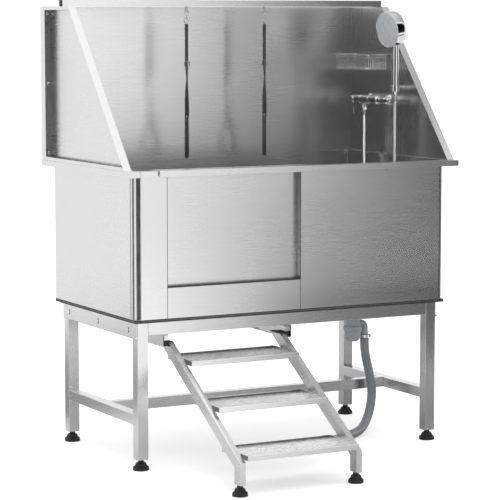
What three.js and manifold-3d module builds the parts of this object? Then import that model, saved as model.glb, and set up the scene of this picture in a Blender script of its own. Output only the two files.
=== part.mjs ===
// Stainless steel pet bathtub: a raised wash tub with splash panels, a lift-out front door, a stair that slides
// away under the tub, a wall mixer with a handset, a wire basket, two grooming leashes and a drain with its hose.
// Millimetres, +Z up, the door and stair at the front (-Y). The whole model stands on Z = 0.
import * as THREE from 'three';
import { mergeVertices } from 'three/addons/utils/BufferGeometryUtils.js';
import Module from 'manifold-3d';

const wasm = await Module();
wasm.setup();

// ---- Driving dimensions -------------------------------------------------------------------------------------
const GAP = 0.3; // air left between neighbouring pieces
const SHEET = 1.5; // folded stainless sheet

const RIM_LENGTH = 1270;
const RIM_DEPTH = 714;
const RIM_TOP = 993.5;
const LIP_HEIGHT = 20;
const SIDE_OVERHANG = 39;
const FRONT_OVERHANG = 32;
const BACK_OVERHANG = 22;
const TUB_BOTTOM = 494;
const CORNER_RADIUS = 22;
const PAN_HEIGHT = 14;

const DOOR_LEFT = -480; // the doorway between its two seams
const DOOR_RIGHT = 21;
const SILL_TOP = 606;
const DOOR_RECESS = 28;
const DOOR_THICKNESS = 14;
const DOOR_SIDE_LAP = 24; // how far each door edge runs inside its guide

const SPLASH_TOP = 1526;
const SPLASH_FLANGE = 27;
const SPLASH_LIP = 12;
const SPLASH_TOP_FRONT = 117; // front end of a side panel's top edge
const SPLASH_FOOT_FRONT = -327;
const BACK_PANEL_FACE = 333;

const BAR_SIZE = 22;
const BAR_Y = 178;
const BAR_LENGTH = 1266;

const LEG_SIZE = 38;
const LEG_X = 579; // outer faces of the legs
const LEG_Y = 302;
const LEG_FOOT_GAP = 36; // the levelling foot fills this height
const TUBE_WALL = 1.5;
const RAIL_BOTTOM = 450;
const RAIL_WIDTH = 25;
const PLATE_BOTTOM = 438;
const STRETCHER_TOP = 186;
const STRETCHER_HEIGHT = 36;

const STAIR_LEFT = -465; // outer faces of the two stringers
const STAIR_RIGHT = -23;
const STRINGER_WIDTH = 20;
const STRINGER_DEPTH = 38;
const STAIR_SLOPE = 31.7; // degrees
const STAIR_TOP = 421;
const KNEE_Y = -805; // front face of the stair's short legs
const KNEE_Z = 108;
const TREAD_DEPTH = 180;
const TREAD_HEIGHT = 18;
const TREAD_TOPS = [376, 254.5, 133];
const TREAD_FRONTS = [-432, -626, -820];

const DRAIN_X = 385;
const DRAIN_Y = -60;
const DRAIN_HOSE_DIAMETER = 32;
const TAP_HOSE_DIAMETER = 12;

const STEEL = { color: 0xc4c6c8, roughness: 0.35, metalness: 1 };
const CHROME = { color: 0xe2e4e6, roughness: 0.12, metalness: 1 };
const BLACK_PLASTIC = { color: 0x0c0c0d, roughness: 0.6, metalness: 0 };
const GREY_PLASTIC = { color: 0x8d9496, roughness: 0.5, metalness: 0 };
const WEBBING = { color: 0x101011, roughness: 0.85, metalness: 0 };

// ---- Places worked out from them ------------------------------------------------------------------------------
const rimX = RIM_LENGTH / 2;
const rimY = RIM_DEPTH / 2;
const bodyX = rimX - SIDE_OVERHANG;
const bodyFront = -rimY + FRONT_OVERHANG;
const bodyBack = rimY - BACK_OVERHANG;
const wallTop = RIM_TOP - SHEET - GAP;
const insideX = bodyX - SHEET;
const slope = THREE.MathUtils.degToRad(STAIR_SLOPE);
const railInner = RAIL_BOTTOM - GAP;
const tubShift = -(TREAD_FRONTS[2] + rimY) / 2; // puts the origin below the middle of the model's box

// ---- Geometry helpers -----------------------------------------------------------------------------------------
function solid(geometry) {
  const bare = geometry.clone();
  for (const name of Object.keys(bare.attributes)) {
    if (name !== 'position') bare.deleteAttribute(name);
  }
  const merged = mergeVertices(bare, 1e-4);
  const index = merged.index.array;
  const kept = [];
  for (let i = 0; i < index.length; i += 3) {
    const [a, b, c] = [index[i], index[i + 1], index[i + 2]];
    if (a !== b && b !== c && a !== c) kept.push(a, b, c);
  }
  const mesh = new wasm.Mesh({
    numProp: 3,
    vertProperties: new Float32Array(merged.attributes.position.array),
    triVerts: new Uint32Array(kept),
  });
  return new wasm.Manifold(mesh);
}

function geometryOf(manifold) {
  const mesh = manifold.getMesh();
  const geometry = new THREE.BufferGeometry();
  geometry.setAttribute('position', new THREE.BufferAttribute(mesh.vertProperties, 3));
  geometry.setIndex(new THREE.BufferAttribute(mesh.triVerts, 1));
  return geometry;
}

function block(x0, x1, y0, y1, z0, z1) {
  const geometry = new THREE.BoxGeometry(x1 - x0, y1 - y0, z1 - z0);
  geometry.translate((x0 + x1) / 2, (y0 + y1) / 2, (z0 + z1) / 2);
  return solid(geometry);
}

const AXES = {
  x: [new THREE.Vector3(0, 1, 0), new THREE.Vector3(0, 0, 1), new THREE.Vector3(1, 0, 0)],
  y: [new THREE.Vector3(0, 0, 1), new THREE.Vector3(1, 0, 0), new THREE.Vector3(0, 1, 0)],
  z: [new THREE.Vector3(1, 0, 0), new THREE.Vector3(0, 1, 0), new THREE.Vector3(0, 0, 1)],
};

// A closed outline pushed along an axis: its points are (y, z) along x, (z, x) along y and (x, y) along z.
function prism(outline, axis, from, to, holes = []) {
  const shape = outline instanceof THREE.Shape ? outline : polygon(outline);
  shape.holes.push(...holes);
  const geometry = new THREE.ExtrudeGeometry(shape, {
    depth: to - from,
    bevelEnabled: false,
    curveSegments: 8,
  });
  geometry.translate(0, 0, from);
  geometry.applyMatrix4(new THREE.Matrix4().makeBasis(...AXES[axis]));
  return solid(geometry);
}

function polygon(points) {
  return new THREE.Shape(points.map(([u, v]) => new THREE.Vector2(u, v)));
}

// The outline of a sheet folded along a path, its thickness laid to the left of the path.
function foldedOutline(path, thickness) {
  const points = path.map(([u, v]) => new THREE.Vector2(u, v));
  const sides = [];
  for (let i = 0; i + 1 < points.length; i += 1) {
    const along = points[i + 1].clone().sub(points[i]).normalize();
    sides.push(new THREE.Vector2(-along.y, along.x));
  }
  const shifted = points.map((point, i) => {
    const before = sides[Math.max(i - 1, 0)];
    const after = sides[Math.min(i, sides.length - 1)];
    const mitre = before.clone().add(after);
    return point.clone().addScaledVector(mitre, thickness / (1 + before.dot(after)));
  });
  return [...points, ...shifted.reverse()].map((p) => [p.x, p.y]);
}

// Points on an arc, for the round corner of a folded path.
function arc(cx, cy, radius, fromDegrees, toDegrees, steps = 6) {
  const points = [];
  for (let i = 0; i <= steps; i += 1) {
    const angle = THREE.MathUtils.degToRad(fromDegrees + ((toDegrees - fromDegrees) * i) / steps);
    points.push([cx + radius * Math.cos(angle), cy + radius * Math.sin(angle)]);
  }
  return points;
}

// A round piece standing on Z, from (radius, height) pairs that start and end on the axis.
function turned(profile, segments = 20) {
  const geometry = new THREE.LatheGeometry(
    profile.map(([r, z]) => new THREE.Vector2(r, z)),
    segments,
  );
  geometry.rotateX(Math.PI / 2);
  return solid(geometry);
}

function rod(radius, from, to, segments = 16) {
  const a = new THREE.Vector3(...from);
  const b = new THREE.Vector3(...to);
  const length = a.distanceTo(b);
  const geometry = new THREE.CylinderGeometry(radius, radius, length, segments);
  const turn = new THREE.Quaternion().setFromUnitVectors(
    new THREE.Vector3(0, 1, 0),
    b.clone().sub(a).normalize(),
  );
  geometry.applyQuaternion(turn);
  geometry.translate(...a.clone().add(b).multiplyScalar(0.5).toArray());
  return solid(geometry);
}

// A rectangular tube along an axis; u and v are the ranges of the two other sizes, as in prism.
function tube(axis, from, to, [u0, u1], [v0, v1], wall = TUBE_WALL) {
  const hole = new THREE.Path([
    new THREE.Vector2(u0 + wall, v0 + wall),
    new THREE.Vector2(u0 + wall, v1 - wall),
    new THREE.Vector2(u1 - wall, v1 - wall),
    new THREE.Vector2(u1 - wall, v0 + wall),
  ]);
  return prism([[u0, v0], [u1, v0], [u1, v1], [u0, v1]], axis, from, to, [hole]);
}

// A cord along hand-placed points, with a regular section of the given number of sides.
function cordAlong(points, diameter, sides, steps) {
  const curve = new THREE.CatmullRomCurve3(
    points.map((p) => new THREE.Vector3(...p)),
    false,
    'centripetal',
  );
  const section = [];
  for (let i = 0; i < sides; i += 1) {
    const angle = (2 * Math.PI * i) / sides;
    section.push(new THREE.Vector2((diameter / 2) * Math.cos(angle), (diameter / 2) * Math.sin(angle)));
  }
  const geometry = new THREE.ExtrudeGeometry(new THREE.Shape(section), {
    steps,
    extrudePath: curve,
    bevelEnabled: false,
  });
  return solid(geometry);
}

function turnedAlongY(profile, segments = 20) {
  return turned(profile, segments).rotate([-90, 0, 0]);
}

const tub = new THREE.Group();
tub.position.y = tubShift;

function add(name, manifold, finish) {
  const mesh = new THREE.Mesh(geometryOf(manifold), new THREE.MeshStandardMaterial(finish));
  mesh.name = name;
  tub.add(mesh);
  return mesh;
}

// ---- Tub body -------------------------------------------------------------------------------------------------
function roundedPlan(x, front, back, radius) {
  return polygon([
    ...arc(x - radius, back - radius, radius, 0, 90),
    ...arc(-x + radius, back - radius, radius, 90, 180),
    ...arc(-x + radius, front + radius, radius, 180, 270),
    ...arc(x - radius, front + radius, radius, 270, 360),
  ]);
}

function addPan() {
  const inset = SHEET + GAP;
  const fold = 6;
  const low = prism(
    roundedPlan(bodyX - fold, bodyFront + fold, bodyBack - fold, CORNER_RADIUS - fold),
    'z', TUB_BOTTOM, TUB_BOTTOM + PAN_HEIGHT,
  );
  const middle = prism(
    roundedPlan(bodyX - 2, bodyFront + 2, bodyBack - 2, CORNER_RADIUS - 2),
    'z', TUB_BOTTOM + 2.5, TUB_BOTTOM + PAN_HEIGHT,
  );
  const edge = prism(
    roundedPlan(bodyX, bodyFront, bodyBack, CORNER_RADIUS),
    'z', TUB_BOTTOM + 4.5, TUB_BOTTOM + fold,
  );
  const upright = prism(
    roundedPlan(bodyX - inset, bodyFront + inset, bodyBack - inset, CORNER_RADIUS - inset),
    'z', TUB_BOTTOM + 4.5, TUB_BOTTOM + PAN_HEIGHT,
  );
  const hollow = prism(
    roundedPlan(bodyX - fold - 2, bodyFront + fold + 2, bodyBack - fold - 2, CORNER_RADIUS - fold - 2),
    'z', TUB_BOTTOM + 2, TUB_BOTTOM + PAN_HEIGHT + 1,
  );
  const belowSkins = block(-bodyX, bodyX, bodyFront, bodyBack, TUB_BOTTOM, TUB_BOTTOM + fold);
  const shell = low.add(middle.intersect(belowSkins)).add(edge).add(upright).subtract(hollow);
  const drainHole = rod(44, [DRAIN_X, DRAIN_Y, TUB_BOTTOM - 5], [DRAIN_X, DRAIN_Y, TUB_BOTTOM + 10], 24);
  add('floor_pan', shell.subtract(drainHole), STEEL);
}

function addSkins() {
  const bottom = TUB_BOTTOM + 6 + GAP;
  const leftPath = [
    [DOOR_LEFT - GAP, bodyFront],
    ...arc(-bodyX + CORNER_RADIUS, bodyFront + CORNER_RADIUS, CORNER_RADIUS, 270, 180),
    [-bodyX, bodyBack - GAP],
  ];
  const rightPath = [
    [bodyX, bodyBack - GAP],
    ...arc(bodyX - CORNER_RADIUS, bodyFront + CORNER_RADIUS, CORNER_RADIUS, 360, 270),
    [DOOR_RIGHT + GAP, bodyFront],
  ];
  const leftOutline = foldedOutline(leftPath, -SHEET);
  const rightOutline = foldedOutline(rightPath, -SHEET);
  add('skin_left', prism(leftOutline, 'z', bottom, wallTop), STEEL);
  add('skin_right', prism(rightOutline, 'z', bottom, wallTop), STEEL);
  add('skin_back', block(
    -insideX + GAP, insideX - GAP, bodyBack - SHEET, bodyBack, bottom, wallTop,
  ), STEEL);
}

function addRim() {
  const low = RIM_TOP - LIP_HEIGHT;
  const inner = 3.5; // the rim's inner flange hangs just inside the tub walls
  const innerX = bodyX - inner;
  const innerFront = bodyFront + inner;
  const innerBack = bodyBack - inner;
  const outer = block(-rimX, rimX, -rimY, rimY, low, RIM_TOP);
  const under = block(-rimX + SHEET, rimX - SHEET, -rimY + SHEET, rimY - SHEET, low - 1, RIM_TOP - SHEET);
  const flangePlan = (inset) => roundedPlan(
    innerX - inset, innerFront + inset, innerBack - inset, CORNER_RADIUS - inner - inset,
  );
  const flange = prism(flangePlan(0), 'z', RIM_TOP - 15, RIM_TOP - SHEET / 2);
  const mouth = prism(flangePlan(SHEET), 'z', low - 2, RIM_TOP + 1);
  const ring = outer.subtract(under).add(flange).subtract(mouth);
  const split = bodyX - 6;
  const high = RIM_TOP + 1;
  const cut = (x0, x1, y0, y1) => ring.intersect(block(x0, x1, y0, y1, low - 2, high));
  add('rim_left', cut(-rimX, -split - GAP, -rimY, rimY), STEEL);
  add('rim_right', cut(split + GAP, rimX, -rimY, rimY), STEEL);
  add('rim_back', cut(-split, split, 0, rimY), STEEL);
  add('rim_front_left', cut(-split, DOOR_LEFT - 48, -rimY, 0), STEEL);
  add('rim_front_right', cut(DOOR_RIGHT + 28, split, -rimY, 0), STEEL);
}

// ---- Doorway and lift-out door ----------------------------------------------------------------------------------
const doorFace = bodyFront + DOOR_RECESS;
const doorBack = doorFace + DOOR_THICKNESS;
const doorRun = 2; // clearance between the door and its guides

function addDoorway() {
  const frameBack = doorBack + 14;
  const skinInside = bodyFront + SHEET + GAP;
  const jambOutline = (seam, side) => {
    const wide = seam + side * 42;
    const deep = seam + side * (DOOR_SIDE_LAP + 4);
    const path = [
      [wide, frameBack], [seam, frameBack], [seam, doorBack + doorRun], [deep, doorBack + doorRun],
      [deep, doorFace - doorRun], [seam, doorFace - doorRun], [seam, skinInside], [wide, skinInside],
    ];
    return foldedOutline(path, side * SHEET);
  };
  const bottom = TUB_BOTTOM + 6 + GAP;
  const jambBottom = TUB_BOTTOM + PAN_HEIGHT + GAP;
  add('jamb_left', prism(jambOutline(DOOR_LEFT, -1), 'z', jambBottom, wallTop - 22), STEEL);
  add('jamb_right', prism(jambOutline(DOOR_RIGHT, 1), 'z', jambBottom, wallTop - 22), STEEL);
  const sillPath = [
    [bodyFront, bottom], [bodyFront, SILL_TOP], [frameBack, SILL_TOP], [frameBack, jambBottom],
  ];
  const sill = prism(foldedOutline(sillPath, -SHEET), 'x', DOOR_LEFT + GAP, DOOR_RIGHT - GAP);
  add('sill_panel', sill, STEEL);
}

function addDoor() {
  const left = DOOR_LEFT - DOOR_SIDE_LAP;
  const right = DOOR_RIGHT + DOOR_SIDE_LAP;
  const panel = tube('z', SILL_TOP + GAP, RIM_TOP - SHEET / 2, [left, right], [doorFace, doorBack]);
  const lipBack = doorBack + 2;
  const lipPath = [
    [-rimY, RIM_TOP - LIP_HEIGHT], [-rimY, RIM_TOP], [lipBack, RIM_TOP], [lipBack, RIM_TOP - 6],
  ];
  const lip = prism(foldedOutline(lipPath, -SHEET), 'x', DOOR_LEFT - 42, DOOR_RIGHT + 27);
  add('door_panel', panel.add(lip), STEEL);
}

// ---- Splash panels and leash bar --------------------------------------------------------------------------------
function sideSplash(side) {
  const outline = (inset, slopeInset) => {
    const run = new THREE.Vector2(SPLASH_TOP_FRONT - SPLASH_FOOT_FRONT, SPLASH_TOP - RIM_TOP);
    const across = (slopeInset * run.length()) / run.y;
    const frontAt = (z) => SPLASH_FOOT_FRONT + ((z - RIM_TOP) * run.x) / run.y + across;
    const low = RIM_TOP + GAP + inset;
    const high = SPLASH_TOP - inset;
    const rear = BACK_PANEL_FACE - GAP - inset;
    return [[frontAt(low), low], [rear, low], [rear, high], [frontAt(high), high]];
  };
  const sheetX = bodyX + 12;
  const [x0, x1] = side < 0 ? [-rimX, -sheetX] : [sheetX, rimX];
  const [pocket0, pocket1] = side < 0 ? [x0 - 1, x1 - SHEET] : [x0 + SHEET, x1 + 1];
  const [lip0, lip1] = side < 0 ? [x0, x0 + SHEET] : [x1 - SHEET, x1];
  const full = prism(outline(0, 0), 'x', x0, x1);
  const pocket = prism(outline(SHEET, SHEET), 'x', pocket0, pocket1);
  const lip = prism(outline(0, 0), 'x', lip0, lip1);
  const window = prism(outline(SPLASH_LIP, SHEET), 'x', lip0 - 1, lip1 + 1);
  return full.subtract(pocket).add(lip.subtract(window));
}

function addSplash() {
  add('splash_left', sideSplash(-1), STEEL);
  add('splash_right', sideSplash(1), STEEL);
  const low = RIM_TOP + GAP;
  const full = block(-rimX, rimX, BACK_PANEL_FACE, rimY, low, SPLASH_TOP);
  const pocket = block(
    -rimX + SHEET, rimX - SHEET, BACK_PANEL_FACE + SHEET, rimY + 1, low + SHEET, SPLASH_TOP - SHEET,
  );
  add('splash_back', full.subtract(pocket), STEEL);
}

const barBottom = SPLASH_TOP + GAP;
const LEASHES = { left: -157, right: 154 }; // X of each leash
const EYE = { radius: 9, wire: 2, z: barBottom - 8 }; // a ring welded to the bar's lower face
const HOOK = { radius: 8, wire: 2.2, halfHeight: 10, play: 3.9 };

function addBar() {
  const half = BAR_SIZE / 2;
  const bar = tube(
    'x', -BAR_LENGTH / 2, BAR_LENGTH / 2, [BAR_Y - half, BAR_Y + half], [barBottom, barBottom + BAR_SIZE],
  );
  const eyes = Object.values(LEASHES).map((x) => {
    const ring = new THREE.TorusGeometry(EYE.radius, EYE.wire, 8, 16);
    ring.rotateY(Math.PI / 2);
    ring.translate(x, BAR_Y, EYE.z);
    return solid(ring);
  });
  add('leash_bar', eyes.reduce((whole, eye) => whole.add(eye), bar), STEEL);
}

// ---- Stand ------------------------------------------------------------------------------------------------------
function addStand() {
  const legTop = TUB_BOTTOM - GAP;
  const corners = {
    front_left: [-1, -1],
    front_right: [1, -1],
    back_left: [-1, 1],
    back_right: [1, 1],
  };
  const span = (outer, sign) => {
    const inner = outer - LEG_SIZE;
    return sign < 0 ? [-outer, -inner] : [inner, outer];
  };
  for (const [corner, [sx, sy]] of Object.entries(corners)) {
    const leg = tube('z', LEG_FOOT_GAP, legTop, span(LEG_X, sx), span(LEG_Y, sy));
    const [x0, x1] = span(LEG_X, sx);
    const [y0, y1] = span(LEG_Y, sy);
    const end = block(x0, x1, y0, y1, LEG_FOOT_GAP, LEG_FOOT_GAP + 4);
    const cx = (x0 + x1) / 2;
    const cy = (y0 + y1) / 2;
    const bore = rod(5.6, [cx, cy, LEG_FOOT_GAP - 1], [cx, cy, LEG_FOOT_GAP + 8]);
    add(`leg_${corner}`, leg.add(end).subtract(bore), STEEL);
    add(`foot_${corner}`, levellingFoot(27).translate([cx, cy, 0]), BLACK_PLASTIC);
  }
  const railX = LEG_X - LEG_SIZE - GAP;
  const railY = [LEG_Y - RAIL_WIDTH, LEG_Y];
  const railZ = [RAIL_BOTTOM, legTop];
  add('front_rail', tube('x', -railX, railX, [-railY[1], -railY[0]], railZ), STEEL);
  add('back_rail', tube('x', -railX, railX, railY, railZ), STEEL);
  for (const [name, side] of [['left', -1], ['right', 1]]) {
    const plateX = side * (LEG_X + GAP);
    const platePath = [
      [plateX, PLATE_BOTTOM], [plateX, legTop], [plateX + side * 13, legTop],
    ].map(([x, z]) => [z, x]);
    const plate = prism(foldedOutline(platePath, 2 * side), 'y', -LEG_Y, LEG_Y + 4);
    add(`side_plate_${name}`, plate, STEEL);
    const stretcherY = LEG_Y - LEG_SIZE - GAP;
    const stretcherZ = [STRETCHER_TOP - STRETCHER_HEIGHT, STRETCHER_TOP];
    const stretcher = tube('y', -stretcherY, stretcherY, stretcherZ, span(LEG_X, side));
    add(`side_stretcher_${name}`, stretcher, STEEL);
  }
  const half = LEG_SIZE / 2;
  const middleZ = [STRETCHER_TOP - STRETCHER_HEIGHT, STRETCHER_TOP];
  add('centre_stretcher', tube('x', -railX, railX, [-half, half], middleZ), STEEL);
}

// Pad, swivel cone, hex-sized collar and threaded stem of one levelling foot, standing on the origin.
function levellingFoot(radius) {
  return turned([
    [0, 0], [radius - 2, 0], [radius, 2], [radius, 9], [radius * 0.62, 17], [radius * 0.56, 25],
    [9, 27], [9, 34.5], [5, 34.5], [5, 56], [0, 56],
  ], 16);
}

// ---- Slide-away stair -------------------------------------------------------------------------------------------
const stringerRise = STRINGER_DEPTH / Math.cos(slope);
const upperEdge = (y) => KNEE_Z + (y - KNEE_Y) * Math.tan(slope);
const lowerEdge = (y) => upperEdge(y) - stringerRise;
const stairLegRear = KNEE_Y + 40;

// A bent tube: a sloping length, cut level at its top, on a short upright leg with an end plate for the foot.
function stringer(x0) {
  const outline = (inset) => {
    const across = inset / Math.cos(slope);
    const upper = (y) => upperEdge(y) - across;
    const lower = (y) => lowerEdge(y) + across;
    const front = KNEE_Y + inset;
    const rear = stairLegRear - inset;
    const top = STAIR_TOP + inset;
    const base = inset > 0 ? LEG_FOOT_GAP + 4 : LEG_FOOT_GAP;
    const topFront = KNEE_Y + (top + across - KNEE_Z) / Math.tan(slope);
    const topRear = KNEE_Y + (top - across + stringerRise - KNEE_Z) / Math.tan(slope);
    return [
      [front, base], [rear, base], [rear, lower(rear)], [topRear, top], [topFront, top],
      [front, upper(front)],
    ];
  };
  const legCentre = (KNEE_Y + stairLegRear) / 2;
  const centreX = x0 + STRINGER_WIDTH / 2;
  const bore = rod(5.6, [centreX, legCentre, LEG_FOOT_GAP - 1], [centreX, legCentre, LEG_FOOT_GAP + 8]);
  const inside = prism(outline(TUBE_WALL), 'x', x0 + TUBE_WALL, x0 + STRINGER_WIDTH - TUBE_WALL);
  return prism(outline(0), 'x', x0, x0 + STRINGER_WIDTH).subtract(inside).subtract(bore);
}

function tread(front, top) {
  const x0 = STAIR_LEFT + STRINGER_WIDTH + GAP;
  const x1 = STAIR_RIGHT - STRINGER_WIDTH - GAP;
  const back = front + TREAD_DEPTH;
  const frame = block(x0, x1, front, back, top - TREAD_HEIGHT, top);
  const tray = block(x0 + 2, x1 - 2, front + 2, back - 2, top - 8, top + 1);
  const under = block(x0 + 2, x1 - 2, front + 2, back - 2, top - TREAD_HEIGHT - 1, top - 10);
  return frame.subtract(tray).subtract(under);
}

const GLIDE = { y0: -296, y1: -262, z0: 411, z1: 428 };
const RUNNER = { front: -300, y0: -258, y1: -110, z0: 411, middle: 429, z1: 446, thick: 4, tab: 16 };

// The bar on a stringer's outer face that runs inside the tub's rail: its upper half reaches forward over the
// roller and turns in across the rail's open end.
function runner(face, side) {
  const { front, y0, y1, z0, middle, z1, thick, tab } = RUNNER;
  const span = (reach) => (side < 0 ? [face - reach, face] : [face, face + reach]);
  return block(...span(thick), y0, y1, z0, z1)
    .add(block(...span(thick), front, y1, middle, z1))
    .add(block(...span(tab), front, front + 3, middle, z1));
}

function addStair() {
  add('stringer_left', stringer(STAIR_LEFT).add(runner(STAIR_LEFT, -1)), STEEL);
  add('stringer_right', stringer(STAIR_RIGHT - STRINGER_WIDTH).add(runner(STAIR_RIGHT, 1)), STEEL);
  ['top', 'middle', 'bottom'].forEach((place, i) => {
    add(`tread_${place}`, tread(TREAD_FRONTS[i], TREAD_TOPS[i]), STEEL);
  });
  const legCentre = (KNEE_Y + stairLegRear) / 2;
  const clear = 1.5;
  for (const [name, side, face] of [['left', -1, STAIR_LEFT], ['right', 1, STAIR_RIGHT]]) {
    const footX = face - (side * STRINGER_WIDTH) / 2;
    add(`stair_foot_${name}`, levellingFoot(25).translate([footX, legCentre, 0]), BLACK_PLASTIC);
    const span = (near, far) => (side < 0 ? [face - far, face - near] : [face + near, face + far]);
    const [g0, g1] = span(GAP, 16);
    const railFar = 19.5;
    const path = [
      [GLIDE.z0 - clear, face + side * clear], [GLIDE.z0 - clear, face + side * railFar],
      [railInner - 2, face + side * railFar], [railInner - 2, face + side * clear],
    ];
    const rail = prism(foldedOutline(path, 2 * side), 'y', -LEG_Y, LEG_Y);
    add(`stair_rail_${name}`, rail, STEEL);
    const glide = block(g0, g1, GLIDE.y0, GLIDE.y1, GLIDE.z0, GLIDE.z1);
    add(`stair_glide_${name}`, glide, BLACK_PLASTIC);
  }
}

// ---- Mixer, handset and basket on the right splash panel ---------------------------------------------------------
const panelX = bodyX + 12 - GAP;
const MIXER = { x: 555, z: 1190, radius: 17, near: 42, far: 207 };
const HANDSET = { x: 548, y: -75, bottom: 1214, top: 1385 };
const HEAD = { face: [512, -75, 1443.5], normal: [-0.985, -0.096, -0.154], radius: 63.5 };
const HOLDER = { y: 20, reach: 27 }; // its rose's place on the panel, and where the clip's stub ends
const INLETS = [58, 190];
const OUTLET_Y = 148;

function addMixer() {
  const bodyProfile = [
    [0, MIXER.near], [14, MIXER.near], [MIXER.radius, MIXER.near + 5], [MIXER.radius, MIXER.far - 5],
    [14, MIXER.far], [0, MIXER.far],
  ];
  let body = turnedAlongY(bodyProfile).translate([MIXER.x, 0, MIXER.z]);
  for (const y of INLETS) {
    body = body.add(rod(12, [MIXER.x, y, MIXER.z], [panelX - 4, y, MIXER.z]));
    body = body.add(rod(21, [panelX - 6, y, MIXER.z], [panelX, y, MIXER.z], 24));
  }
  body = body.add(rod(9, [MIXER.x, OUTLET_Y, MIXER.z], [MIXER.x, OUTLET_Y, MIXER.z - 30]));
  body = body.add(rod(11, [MIXER.x, OUTLET_Y, MIXER.z - 28], [MIXER.x, OUTLET_Y, MIXER.z - 44], 6));
  add('mixer_body', body, CHROME);
  const nearKnob = turnedAlongY([
    [0, MIXER.near - 76], [13, MIXER.near - 76], [17, MIXER.near - 70], [17, MIXER.near - 34],
    [12, MIXER.near - 28], [12, MIXER.near - GAP], [0, MIXER.near - GAP],
  ]).translate([MIXER.x, 0, MIXER.z]);
  add('mixer_flow_knob', nearKnob, CHROME);
  const leverY = MIXER.far + 16;
  const farKnob = turnedAlongY([
    [0, MIXER.far + GAP], [12, MIXER.far + GAP], [14, MIXER.far + 6], [14, MIXER.far + 22],
    [10, MIXER.far + 25], [0, MIXER.far + 25],
  ]).translate([MIXER.x, 0, MIXER.z]);
  const lever = rod(3.5, [MIXER.x, leverY, MIXER.z], [MIXER.x, leverY, MIXER.z - 58], 10);
  add('mixer_temperature_lever', farKnob.add(lever), CHROME);
}

function addHandset() {
  const clipZ = HANDSET.bottom + 22;
  const axis = new THREE.Vector3(HANDSET.x, HANDSET.y, clipZ);
  const rose = new THREE.Vector3(panelX - 8, HOLDER.y, clipZ);
  const along = rose.clone().sub(axis).normalize();
  const out = (distance) => axis.clone().addScaledVector(along, distance).toArray();
  const bracket = rod(14, [panelX - 8, HOLDER.y, clipZ], [panelX, HOLDER.y, clipZ], 24)
    .add(rod(8, out(HOLDER.reach), rose.toArray(), 16));
  add('holder_bracket', bracket, CHROME);
  const clip = rod(16.5, [HANDSET.x, HANDSET.y, clipZ - 11], [HANDSET.x, HANDSET.y, clipZ + 11], 20)
    .add(rod(8, axis.toArray(), out(HOLDER.reach - GAP), 16))
    .subtract(rod(13.5, [HANDSET.x, HANDSET.y, clipZ - 20], [HANDSET.x, HANDSET.y, clipZ + 20], 20));
  add('holder_clip', clip, CHROME);
  const face = new THREE.Vector3(...HEAD.face);
  const normal = new THREE.Vector3(...HEAD.normal).normalize();
  const behind = (depth) => face.clone().addScaledVector(normal, -depth).toArray();
  const handle = turned([
    [0, HANDSET.bottom], [8, HANDSET.bottom], [12.6, HANDSET.bottom + 30], [13, HANDSET.top - 40],
    [12, HANDSET.top + 12], [0, HANDSET.top + 12],
  ]).translate([HANDSET.x, HANDSET.y, 0]);
  const head = rod(HEAD.radius, behind(0), behind(38), 32)
    .add(rod(HEAD.radius * 0.88, behind(37), behind(44), 32));
  add('handset', handle.add(head), CHROME);
}

const BASKET = { x0: 507, x1: 603, y0: 57, y1: 287, z0: 1298, z1: 1354 };

function addBasket() {
  const { x0, x1, y0, y1, z0, z1 } = BASKET;
  const wall = 3;
  const inside = block(x0 + wall, x1 - wall, y0 + wall, y1 - wall, z0 + wall, z1 + 1);
  const hook = block(x1 - 1, panelX, 162, 227, z1 - 16, z1);
  add('basket', block(x0, x1, y0, y1, z0, z1).subtract(inside).add(hook), CHROME);
}

// ---- Leashes ----------------------------------------------------------------------------------------------------
const STRAP_WIDTH = 14;
const STRAP_THICK = 2.4;

const NOOSE_TURN = 62; // degrees from the bar's direction to the noose's plane

// One leash, as (across, Z): straight down from its snap, through its ring, and round the noose back to the ring.
const STRAP_ROUTE = [
  [0, 1466], [0, 1440], [0, 1410], [0, 1375], [0, 1340], [0, 1300], [0, 1260], [0, 1220], [0, 1180], [0, 1150],
  [-3, 1120], [-14, 1092], [-26, 1062], [-31, 1034], [-24, 1006], [0, 995], [24, 1006], [31, 1034], [26, 1062],
  [17, 1090], [11, 1118],
];

function strap(x) {
  const curve = new THREE.CatmullRomCurve3(
    STRAP_ROUTE.map(([across, z]) => new THREE.Vector3(across, 0, z)),
    false,
    'centripetal',
  );
  const count = 44;
  const centre = curve.getSpacedPoints(count).map((p) => [p.x, p.z]);
  const half = STRAP_THICK / 2;
  const outline = foldedOutline(
    foldedOutline(centre, half).slice(count + 1).reverse(),
    -STRAP_THICK,
  );
  const flat = prism(outline.map(([u, v]) => [v, u]), 'y', -STRAP_WIDTH / 2, STRAP_WIDTH / 2);
  return flat.rotate([0, 0, NOOSE_TURN]).translate([x, BAR_Y, 0]);
}

function addLeashes() {
  const eyeInside = EYE.z - EYE.radius + EYE.wire;
  const hookZ = eyeInside + HOOK.play - HOOK.halfHeight;
  for (const [name, x] of Object.entries(LEASHES)) {
    const hook = new THREE.TorusGeometry(HOOK.radius, HOOK.wire, 8, 16);
    hook.scale(1, HOOK.halfHeight / HOOK.radius, 1);
    hook.rotateX(Math.PI / 2);
    hook.translate(x, BAR_Y, hookZ);
    const shank = rod(3, [x, BAR_Y, hookZ - HOOK.halfHeight], [x, BAR_Y, 1484], 10);
    const swivel = rod(5.5, [x, BAR_Y, 1490], [x, BAR_Y, 1480], 12);
    const ring = block(x - 9, x + 9, BAR_Y - 2, BAR_Y + 2, 1467, 1481);
    const eye = block(x - 6.5, x + 6.5, BAR_Y - 3, BAR_Y + 3, 1470.5, 1477);
    const snap = solid(hook).add(shank).add(swivel).add(ring).subtract(eye);
    add(`leash_snap_${name}`, snap, CHROME);
    add(`leash_strap_${name}`, strap(x), WEBBING);
  }
}

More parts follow.
